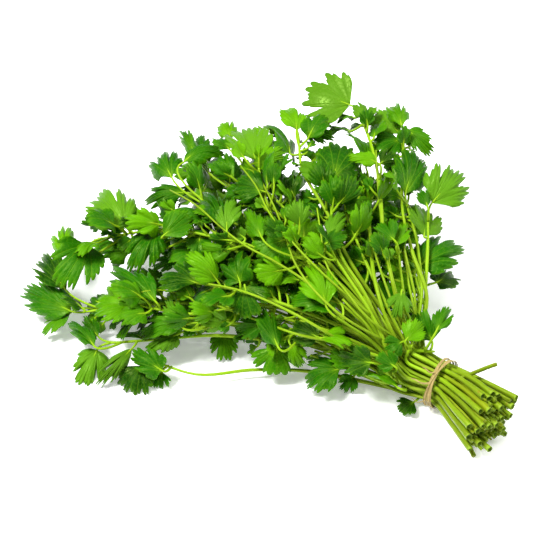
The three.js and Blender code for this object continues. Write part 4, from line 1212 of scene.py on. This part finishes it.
def fillLines():
    # The middle of two stems' lines as far out as there is room for it, thinning to its end
    look, random = fillLook, np.random.default_rng(fillLook["seed"])
    reach = np.linspace(0, look["reach"], look["points"])
    uppers = np.stack([
        smoothAlong(line[3:], np.minimum(reach, lengths(line[3:]).sum())) for line in lines
    ])
    midway = uppers[:, look["nearAt"]]
    near = np.argsort(np.linalg.norm(midway[:, None] - midway[None], axis=2), axis=1)
    found, used = [], []
    for first in range(len(lines)):
        for other in near[first, 1:look["neighbours"] + 1]:
            centres = mix(uppers[first], uppers[other], 0.5)
            room = np.linalg.norm(centres[:, None] - densePoints[None], axis=2).min(axis=1)
            size = np.minimum(room - stem["upper"] - look["gap"], look["most"])
            long = int(look["points"] * mix(*look["ends"], random.random()))
            size = size * np.linspace(1, look["thinning"], look["points"])
            start = int(np.argmax(size > look["least"]))
            fits = (size[start:long] > look["least"]).all() and long - start > look["shortest"]
            probe = centres[look["apartAt"]]
            free = all(np.linalg.norm(probe - place) > look["apart"] for place in used)
            if fits and free and centres[:, 2].min() > look["lowest"]:
                begin = max(start - 1, 0)
                size[begin] = min(size[begin + 1], look["narrow"][0])
                size = np.maximum(size[begin:long], look["narrow"][1])
                found.append((first, centres[begin:long], size))
                used.append(probe)
    return found


strayThinning = 0.8
crossThinning = 0.6
stubs = stubLines() + fillLines()
for stray in strays:
    size = np.linspace(stray["size"], stray["size"] * strayThinning, strayPoints)
    stubs.append((stray["stem"], strayLine(stray), size))
for crossing, line in zip(crossings, crossed):
    size = crossing["size"] * np.linspace(crossThinning, 1, len(line))
    stubs.append((crossing["stem"], line, size))
print("stubs and bare stalks", len(stubs))

# Leaves: thin closed sheets with crenate rims, three lobes and sunken veins
leafLook = dict(
    rows=9, perTooth=6, teeth=(13, 18), thick=0.34, toothDepth=0.12, roundness=0.6, size=1.04,
    turn=(60, 96), turnPower=1.6, narrowing=0.24, beyond=0.3, shoulder=16, shoulderDepth=0.3,
    smoothFrom=0.74, cleft=(0.12, 0.5), cleftWidth=8.5, cleftPower=1.3, cleftWander=8,
    cleftPlaces=(0.36, -0.36, 0.72, -0.72, 0.06), cleftShares=(1, 1, 0.45, 0.45, 0.35),
    veinDepth=0.2, veinHalf=3.0, secondVein=0.55, ruffle=0.6, ruffleTurn=10.5, crease=0.2,
    creaseSide=0.275, creaseEven=0.6, droop=0.1, droopFrom=0.45, turnedOver=0.12, cup=0.09,
    usual=24, inner=0.04, wholeTurn=6.28,
)
smallLook = dict(leafLook, rows=5, perTooth=5, teeth=(10, 13), cleft=(0.1, 0.42))
solidTurn = math.degrees(halfSpread)


def fineRim(side, turn, teeth, random, look):
    # A fan with rounded shoulders, deep clefts between its lobes, and scallops on its outer rim
    degrees = side * turn
    far = np.abs(degrees)
    envelope = 1 - look["narrowing"] * (np.minimum(far, solidTurn) / solidTurn) ** 2
    shoulder = np.maximum(far - turn + look["shoulder"], 0) / look["shoulder"]
    beyond = np.maximum(far / solidTurn - 1, 0)
    envelope *= 1 - look["shoulderDepth"] * shoulder ** 2 - look["beyond"] * beyond
    scallop = np.abs(np.sin(np.pi * teeth * (side + 1) / 2)) ** look["roundness"]
    toothed = np.clip((1 - np.abs(side)) / (1 - look["smoothFrom"]), 0, 1)
    count = len(look["cleftPlaces"])
    wander = look["cleftWander"] * (random.random(count) - 0.5)
    places = np.array(look["cleftPlaces"]) * turn + wander
    depths = mix(*look["cleft"], random.random(count)) * np.array(look["cleftShares"])
    near = np.maximum(0, 1 - np.abs(degrees - places[:, None]) / look["cleftWidth"])
    clefts = near ** look["cleftPower"]
    cut = (clefts * depths[:, None]).max(axis=0)
    return look["size"] * envelope * (1 - cut) * (1 - look["toothDepth"] * toothed * (1 - scallop))


def fineBlade(leaf, look):
    # The solid model's blade with a finer rim, creases along its veins and ruffles at its edge
    random = np.random.default_rng(leaf["index"])
    teeth = round(mix(*look["teeth"], random.random()))
    turn = mix(*look["turn"], random.random() ** look["turnPower"])
    side = np.linspace(-1, 1, teeth * look["perTooth"] + 1)
    out = np.linspace(look["inner"], 1, look["rows"])
    sides, outs = np.meshgrid(side, out)
    degrees = sides * turn
    reach = np.tile(fineRim(side, turn, teeth, random, look), (len(out), 1))
    phases = random.random(3) * look["wholeTurn"]
    size = leaf["length"] / look["usual"]
    main = np.minimum(np.abs(degrees), np.abs(np.abs(sides) - look["secondVein"]) * turn)
    ripple = -look["veinDepth"] * np.exp(-(main * outs / look["veinHalf"]) ** 2)
    even = look["creaseEven"]
    creases = np.cos(np.pi * sides / look["creaseSide"]) * (even + (1 - even) * np.sin(phases[1]))
    ripple += look["crease"] * outs * creases
    ripple += look["ruffle"] * outs ** 3 * np.sin(degrees / look["ruffleTurn"] + phases[0])
    ripple += look["cup"] * leaf["length"] * (sides * outs) ** 2 * np.sin(phases[2] * 2)
    drooping = np.maximum(outs - look["droopFrom"], 0) ** 2 * (1 + np.sin(phases[2])) * 2
    ripple -= look["droop"] * leaf["length"] * drooping
    middle = bladePoint(leaf, outs, degrees / solidTurn, reach, ripple * size)
    return middle, sides, outs


# Middles of the leaves given the brightest tint, as the camera sees them
brightestLeaves = np.array([
    (446, 257), (402, 333), (338, 343), (318, 285), (60, 240), (250, 148), (410, 250), (225, 312),
])
brightestLook = dict(near=13, tint=0.97)


def addLeaf(piece, found):
    # The blade's two faces, then a stalk that curves into it and fades out along the midrib
    leaf, start = found["leaf"], found["start"]
    look = smallLook if found.get("small") else leafLook
    middle, sides, outs = fineBlade(leaf, look)
    half = leaf["normal"] * look["thick"] / 2
    rows, columns = sides.shape
    uv = np.stack([sides / 2 + 0.5, outs], -1).reshape(-1, 2)
    tint, turnedOver = np.random.default_rng(leaf["index"] + seeds["tint"]).random(2)
    column, row, depth = pixelOf(middle.mean(axis=(0, 1)))
    if np.hypot(*(brightestLeaves - [column, row]).T).min() < brightestLook["near"]:
        tint = max(tint, brightestLook["tint"])
    count = rows * columns
    values = np.zeros((2 * count, 4))
    values[:, 0] = tint
    values[count:, 1] = 1
    if turnedOver < look["turnedOver"]:
        values[:, 1] = 1 - values[:, 1]
    points = np.vstack([(middle + half).reshape(-1, 3), (middle - half).reshape(-1, 3)])
    addPart(piece, points, sheetQuads(rows, columns), np.vstack([uv, uv]), values, leafIndex)
    addStalk(piece, leaf, start, tint, middle[:, columns // 2])


stalkLook = dict(
    steps=9, sides=7, ribs=3, ribDepth=0.15, radius=0.72, base=0.95, along=4, bend=0.4,
    beneath=0.22, midrib=0.75, end=0.16, rootward=0.12,
)


def addStalk(piece, leaf, start, tint, midrib):
    # A curve from the stem to the blade, bent through a point behind its base, then thinner
    # along the first part of the midrib
    look = stalkLook
    reach = np.linalg.norm(leaf["base"] - start)
    bend = leaf["base"] - leaf["axis"] * reach * look["bend"]
    t = np.linspace(0, 1, look["steps"])[:, None]
    line = start * (1 - t) ** 2 + bend * 2 * t * (1 - t) + leaf["base"] * t * t
    under = midrib[:look["along"]] - leaf["normal"] * look["beneath"]
    centres = np.vstack([line, under[1:]])
    size = np.concatenate([
        np.linspace(look["base"], look["radius"], look["steps"]),
        np.linspace(look["radius"] * look["midrib"], look["end"], look["along"] - 1),
    ])
    addStick(piece, centres, size, (tint, 0, look["rootward"], 0))


def addStick(piece, centres, size, values):
    # A thin closed tube with shallow ribs
    look = stalkLook
    rings = ringsAlong(centres, size, look["sides"], look["ribs"], look["ribDepth"])
    addTube(piece, rings, centres, values)


def nodeTree(name):
    # An empty shader tree and short ways to fill it
    material = bpy.data.materials.new(name)
    material.use_nodes = True
    tree = material.node_tree
    tree.nodes.clear()

    def add(kind, settings=None, numbered=(), **inputs):
        # A node with its settings, each input linked or given a fixed value
        node = tree.nodes.new(kind)
        for key, value in (settings or {}).items():
            setattr(node, key, value)
        named = [(node.inputs[key.replace("_", " ")], value) for key, value in inputs.items()]
        for socket, value in named + [(node.inputs[place], value) for place, value in numbered]:
            if isinstance(value, bpy.types.NodeSocket):
                tree.links.new(value, socket)
            else:
                socket.default_value = value
        return node

    def calc(operation, *terms):
        # One operation on up to three terms
        return add("ShaderNodeMath", dict(operation=operation), enumerate(terms)).outputs[0]

    def blend(factor, a, b):
        # Colour a at factor 0, b at 1
        kind = dict(data_type="RGBA")
        return add("ShaderNodeMix", kind, ((0, factor), (6, a), (7, b))).outputs[2]

    def ramp(value, *limits):
        # From low to high in a smooth step: 0 to 1, or the two results given
        kind = dict(interpolation_type="SMOOTHSTEP")
        return add("ShaderNodeMapRange", kind, enumerate((value, *limits))).outputs[0]

    def noise(at, scale, detail):
        # Cloudy noise from 0 to 1, mostly near a half
        return add("ShaderNodeTexNoise", Vector=at, Scale=scale, Detail=detail).outputs[0]

    def carried(label):
        # A value that each point of the mesh holds
        return add("ShaderNodeAttribute", dict(attribute_name=label)).outputs["Fac"]

    def where():
        # The object's own coordinates in metres
        return add("ShaderNodeTexCoord").outputs["Object"]

    def mapped():
        # The mesh's map places
        return add("ShaderNodeUVMap", dict(uv_map="surfaceMap")).outputs[0]

    def streaked(along, scale, detail):
        # Noise at map places stretched by a scale
        node = add("ShaderNodeMapping", numbered=[(0, along)])
        node.inputs["Scale"].default_value = scale
        return noise(node.outputs[0], 1.0, detail)

    return SimpleNamespace(
        material=material, add=add, calc=calc, blend=blend, ramp=ramp, noise=noise,
        carried=carried, where=where, mapped=mapped, streaked=streaked,
    )


leafySheen = dict(level=0.34, tint=(0.66, 1, 0.2, 1))


def finish(tree, surface):
    # The surface joined to the material's output
    tree.add("ShaderNodeOutputMaterial", Surface=surface.outputs[0])
    return tree.material


def finishLeafy(tree, colour, roughness, relief, bumpy, glow, glowColour):
    # Glossy bumpy surface mixed with light that comes through from behind
    add = tree.add
    normal = add("ShaderNodeBump", Height=relief, Strength=bumpy[0], Distance=bumpy[1]).outputs[0]
    surface = add("ShaderNodeBsdfPrincipled", Base_Color=colour, Roughness=roughness, Normal=normal)
    surface.inputs["Specular IOR Level"].default_value = leafySheen["level"]
    surface.inputs["Specular Tint"].default_value = leafySheen["tint"]
    through = add("ShaderNodeBsdfTranslucent", Color=glowColour, Normal=normal)
    parts = ((0, glow), (1, surface.outputs[0]), (2, through.outputs[0]))
    return finish(tree, add("ShaderNodeMixShader", numbered=parts))


leafColours = dict(
    dark=(0.0015, 0.034, 0.0002, 1), mid=(0.016, 0.135, 0.0002, 1), bright=(0.125, 0.37, 0.0005, 1),
    under=(0.11, 0.29, 0.009, 1), vein=(0.22, 0.46, 0.010, 1), through=(0.12, 0.40, 0.0002, 1),
)


def leafMaterial():
    # Tint by leaf and by patches, pale veins from the map, a paler underside
    tree, colours = nodeTree("corianderLeaf"), leafColours
    calc, blend, ramp, noise = tree.calc, tree.blend, tree.ramp, tree.noise
    place, spot = tree.where(), tree.mapped()
    parts = tree.add("ShaderNodeSeparateXYZ", numbered=[(0, spot)])
    side = calc("ABSOLUTE", calc("MULTIPLY_ADD", parts.outputs[0], 2.0, -1.0))
    out = parts.outputs[1]
    lateral = calc("MULTIPLY", side, out)
    other = calc("MULTIPLY", calc("ABSOLUTE", calc("SUBTRACT", side, 0.55)), out)
    third = calc("MULTIPLY", calc("ABSOLUTE", calc("SUBTRACT", side, 0.27)), out)
    main = calc("MINIMUM", calc("MINIMUM", lateral, other), third)
    veins = ramp(main, 0.002, 0.013, 1.0, 0.0)
    slanted = calc("SUBTRACT", out, calc("MULTIPLY", main, 1.2))
    fine = ramp(calc("PINGPONG", calc("MULTIPLY", slanted, 8.5), 0.5), 0.02, 0.13, 1.0, 0.0)
    patches, grain = noise(place, 110.0, 3.0), noise(place, 620.0, 4.0)
    streaks = tree.streaked(spot, (46, 2.2, 1), 4.0)
    tone = calc("ADD", calc("MULTIPLY", tree.carried("tint"), 0.72), calc("MULTIPLY", patches, 0.3))
    tone = calc("ADD", tone, calc("MULTIPLY_ADD", streaks, 0.3, -0.12))
    low = blend(ramp(tone, 0.12, 0.5), colours["dark"], colours["mid"])
    body = blend(ramp(tone, 0.5, 0.98), low, colours["bright"])
    body = blend(ramp(out, 0.8, 1.0, 0.0, 0.3), body, colours["bright"])
    veined = blend(calc("MULTIPLY", veins, 0.26), body, colours["vein"])
    veined = blend(calc("MULTIPLY", fine, 0.16), veined, colours["vein"])
    veined = blend(ramp(out, 0.0, 0.4, 0.45, 0.0), veined, colours["vein"])
    colour = blend(calc("MULTIPLY", tree.carried("under"), 0.75), veined, colours["under"])
    relief = calc("ADD", calc("MULTIPLY", veins, -0.7), calc("MULTIPLY", fine, -0.35))
    for layer, share in ((grain, 0.5), (patches, 1.2), (streaks, 0.4)):
        relief = calc("ADD", relief, calc("MULTIPLY", layer, share))
    roughness = ramp(patches, 0.35, 0.65, 0.3, 0.52)
    glow = blend(0.6, body, colours["through"])
    return finishLeafy(tree, colour, roughness, relief, (0.55, 0.0005), 0.26, glow)


stemColours = dict(
    root=(0.125, 0.19, 0.003, 1), upper=(0.235, 0.44, 0.006, 1), streak=(0.5, 0.6, 0.06, 1),
    rim=(0.22, 0.34, 0.02, 1), hollowShade=(0.02, 0.06, 0.001, 1), dry=(0.20, 0.10, 0.008, 1),
    ripe=(0.21, 0.22, 0.003, 1),
)


def stemMaterial():
    # Pale toward the cut end, streaked lengthwise between the ribs, the hollow inside the cut face
    # painted darker than its rim as shade
    tree, colours = nodeTree("corianderStem"), stemColours
    calc, blend, ramp, noise = tree.calc, tree.blend, tree.ramp, tree.noise
    place, tint, cut = tree.where(), tree.carried("tint"), tree.carried("cut")
    streaks = tree.streaked(tree.mapped(), (26, 0.8, 1), 4.0)
    patches, grain, spots = (
        noise(place, scale, detail) for scale, detail in ((60.0, 3.0), (900.0, 3.0), (260.0, 2.0))
    )
    away = calc("ADD", tree.carried("rootward"), calc("MULTIPLY_ADD", patches, 0.5, -0.25))
    body = blend(ramp(away, 0.1, 0.8), colours["upper"], colours["root"])
    body = blend(calc("MULTIPLY", tint, 0.35), body, colours["upper"])
    ripeness = calc("MULTIPLY", ramp(tint, 0.75, 0.95, 0.0, 0.6), ramp(away, 0.5, 0.9))
    body = blend(ripeness, body, colours["ripe"])
    body = blend(ramp(streaks, 0.45, 0.75, 0.0, 0.55), body, colours["streak"])
    shade = calc("MULTIPLY", ramp(streaks, 0.5, 0.3, 0.0, 0.5), ramp(away, 0.1, 0.6))
    body = blend(shade, body, colours["upper"])
    worn = calc("MULTIPLY", ramp(spots, 0.62, 0.74, 0.0, 0.75), ramp(away, 0.85, 1.05))
    body = blend(worn, body, colours["dry"])
    # The cut face: its rim's own colour, then painted shade down in the hollow
    face = blend(ramp(cut, 0.3, 0.8), colours["rim"], colours["hollowShade"])
    colour = blend(ramp(cut, 0.05, 0.3), body, face)
    relief = calc("ADD", streaks, calc("MULTIPLY", grain, 0.4))
    roughness = ramp(grain, 0.3, 0.7, 0.32, 0.48)
    return finishLeafy(tree, colour, roughness, relief, (0.5, 0.0004), 0.12, colours["streak"])


raffiaColours = dict(
    pale=(0.52, 0.40, 0.13, 1), brown=(0.20, 0.10, 0.03, 1), dark=(0.25, 0.17, 0.05, 1),
)


def raffiaMaterial():
    # Long fibres along the strand, with a browner stretch here and there
    tree, colours = nodeTree("raffiaFibre"), raffiaColours
    add, blend, ramp = tree.add, tree.blend, tree.ramp
    fibres = tree.streaked(tree.mapped(), (34, 0.9, 1), 5.0)
    patches = tree.noise(tree.where(), 90.0, 2.0)
    body = blend(ramp(fibres, 0.35, 0.65), colours["dark"], colours["pale"])
    colour = blend(ramp(patches, 0.55, 0.8, 0.0, 0.7), body, colours["brown"])
    bump = add("ShaderNodeBump", Height=fibres, Strength=0.8, Distance=0.0005).outputs[0]
    surface = add("ShaderNodeBsdfPrincipled", Base_Color=colour, Roughness=0.62, Normal=bump)
    return finish(tree, surface)


leafSurface, stemSurface, raffiaSurface = leafMaterial(), stemMaterial(), raffiaMaterial()
awayRootward = 0.45

for number, (line, radius, found) in enumerate(zip(lines, radii, placed)):
    piece = newPiece()
    addStem(piece, line, radius, number)
    for first, middle, size in stubs:
        if first == number:
            rootward = 1 if middle[0][0] > 0 else awayRootward
            addStick(piece, middle, size, ((number % 3) / 2, 0, rootward, 0))
    for each in found:
        addLeaf(piece, each)
    label = f"{number + 1:02d}"
    surfaces = [leafSurface, stemSurface]
    makePiece("sprig_" + label, piece, surfaces, "leafy_stem", "leafy_stem_" + label)
print("sprigs made")

# Raffia: flat strands wound round the bundle and crossing at the front, with three loose ends
strands = [
    dict(lift=0.22, half=0.85, sway=1.6, shift=-0.4, turns=0.0),
    dict(lift=0.72, half=0.6, sway=-1.9, shift=0.2, turns=0.9),
    dict(lift=0.45, half=0.65, sway=0.5, shift=0.9, turns=2.2),
    dict(lift=0.98, half=0.3, sway=-2.8, shift=0.3, turns=3.4),
    dict(lift=0.40, half=0.45, sway=1.1, shift=-1.2, turns=4.1),
    dict(lift=0.62, half=0.35, sway=2.4, shift=0.6, turns=5.0),
]
looseEnds = [
    dict(turn=51, reach=(-0.5, -6, -11.5), rise=(0.1, 2.6, 4.0), half=0.7),
    dict(turn=25, reach=(-0.5, -4, -7.7), rise=(0.1, 2.2, 4.6), half=0.6),
    dict(turn=97, reach=(-0.5, -5, -9.5), rise=(0.1, 3.2, 2.4), half=0.5),
]
strandLook = dict(
    steps=120, sides=10, thick=0.26, flutter=0.12, flutters=5, raised=0.2, uneven=0.18,
    waists=3, fibreRows=8, looseSteps=24, looseThick=0.2, looseIn=0.3, swing=8, curl=3, curls=5,
    narrowing=0.6,
)


def ribbon(piece, centres, outward, half, thick, closed):
    # A flat oval section: its width times a cosine along the line's side direction, its
    # thickness times a sine outward
    sides = strandLook["sides"]
    ahead = np.gradient(centres, axis=0)
    if closed:
        ahead = np.roll(centres, -1, axis=0) - np.roll(centres, 1, axis=0)
    ahead /= np.linalg.norm(ahead, axis=1)[:, None]
    across = np.cross(outward, ahead)
    across /= np.linalg.norm(across, axis=1)[:, None]
    angle = 2 * np.pi * np.arange(sides) / sides
    wide = np.reshape(half, (-1, 1, 1)) * np.cos(angle)[None, :, None] * across[:, None]
    deep = thick * np.sin(angle)[None, :, None] * outward[:, None]
    rings = centres[:, None] + wide + deep
    rows = len(centres)
    u = np.tile(np.arange(sides) / sides, rows)
    v = np.repeat(np.arange(rows) / strandLook["fibreRows"], sides)
    uv = np.stack([u, v], 1)
    if closed:
        index = np.arange(rows * sides).reshape(rows, sides)
        onward, along = np.roll(index, -1, axis=1), np.roll(index, -1, axis=0)
        quads = np.stack([index, onward, np.roll(onward, -1, axis=0), along], -1).reshape(-1, 4)
        addPart(piece, rings, quads, uv, bare, raffiaIndex)
    else:
        uv = np.vstack([uv, [[0, 0], [0, 0]]])
        quads = tubeQuads(rows, sides)
        addPart(piece, withEnds(rings, centres), quads, uv, bare, raffiaIndex)


def aroundTie(angle, x, radius):
    # Points round the tie's axis and the outward direction at each
    outward = np.stack([np.zeros_like(angle), -np.sin(angle), np.cos(angle)], 1)
    points = outward * np.reshape(radius, (-1, 1)) + vec(0, 0, tieOutside)
    points[:, 0] = x
    return points, outward


raffia, look = newPiece(), strandLook
for strand in strands:
    angle = 2 * np.pi * np.arange(look["steps"]) / look["steps"]
    swing = np.sin(angle - math.radians(tie["crossingTurn"]))
    x = strand["shift"] + strand["sway"] * swing
    flutter = look["flutter"] * np.sin(look["flutters"] * angle + strand["turns"])
    radius = tie["inside"] + strand["lift"] + look["raised"] + flutter / 2
    centres, outward = aroundTie(angle, x, radius)
    waisted = np.sin(look["waists"] * angle + strand["turns"] * 2)
    half = strand["half"] * (1 + look["uneven"] * waisted)
    ribbon(raffia, centres, outward, half, look["thick"], True)
for loose in looseEnds:
    t = np.linspace(0, 1, look["looseSteps"])
    x, rise = (np.interp(t, [0, 0.5, 1], loose[label]) for label in ("reach", "rise"))
    curl = look["curl"] * np.sin(look["curls"] * t)
    angle = np.radians(loose["turn"] + look["swing"] * t + curl)
    centres, outward = aroundTie(angle, x, tieOutside - look["looseIn"] + rise)
    half = loose["half"] * (1 - look["narrowing"] * t)
    ribbon(raffia, centres, outward, half, look["looseThick"], False)
makePiece("raffia_strands", raffia, [raffiaSurface], "raffia", "raffia_tie")
print("raffia made")

# Floor, lights and camera
setting = dict(
    floor=4, paper=(0.95, 0.95, 0.95, 1), paperRough=0.9, paperGlow=0.3, sky=0.26, sensor=36,
    far=20,
)
white = (1, 1, 1, 1)
edge = setting["floor"]
floorMesh = bpy.data.meshes.new("floor")
floorMesh.from_pydata(
    [(-edge, -edge, 0), (edge, -edge, 0), (edge, edge, 0), (-edge, edge, 0)], [], [(0, 1, 2, 3)],
)
floor = bpy.data.objects.new("floor", floorMesh)
bpy.context.scene.collection.objects.link(floor)
floorTree = nodeTree("paleFloor")
paper = floorTree.add(
    "ShaderNodeBsdfPrincipled", Base_Color=setting["paper"], Roughness=setting["paperRough"],
    Emission_Color=white, Emission_Strength=setting["paperGlow"],
)
floorMesh.materials.append(finish(floorTree, paper))

lights = [
    dict(name="keyLight", at=(-0.5, -0.6, 1.5), size=0.5, power=51),
    dict(name="topLight", at=(0.3, 0.3, 1.8), size=1.4, power=14),
    dict(name="rimLight", at=(0.9, 0.9, 0.8), size=0.6, power=12),
]


def putInScene(name, data, at, axes):
    # An object whose own three directions are the axes, at a place in metres
    made = bpy.data.objects.new(name, data)
    made.location = at
    made.rotation_euler = Matrix(np.column_stack(axes).tolist()).to_euler()
    bpy.context.scene.collection.objects.link(made)
    return made


for each in lights:
    lamp = bpy.data.lights.new(each["name"], "AREA")
    lamp.energy = each["power"]
    lamp.size = each["size"]
    back = unit(np.array(each["at"]))
    right = unit(np.cross(vec(0, 0, 1), back))
    putInScene(each["name"], lamp, each["at"], (right, np.cross(back, right), back))
world = bpy.data.worlds.new("softStudio")
world.use_nodes = True
backdrop = world.node_tree.nodes["Background"].inputs
backdrop[0].default_value, backdrop[1].default_value = white, setting["sky"]
bpy.context.scene.world = world
bpy.context.scene.view_settings.view_transform = "Standard"

camera = bpy.data.cameras.new("camera")
camera.sensor_width = setting["sensor"]
camera.lens = setting["sensor"] * eye["focal"] / pictureWide
camera.clip_end = setting["far"]
axes = (lookRight, lookUp, -lookAhead)
seat = putInScene("camera", camera, ((eyePlace + moved) / 1000).tolist(), axes)
bpy.context.scene.camera = seat

bpy.context.view_layer.update()
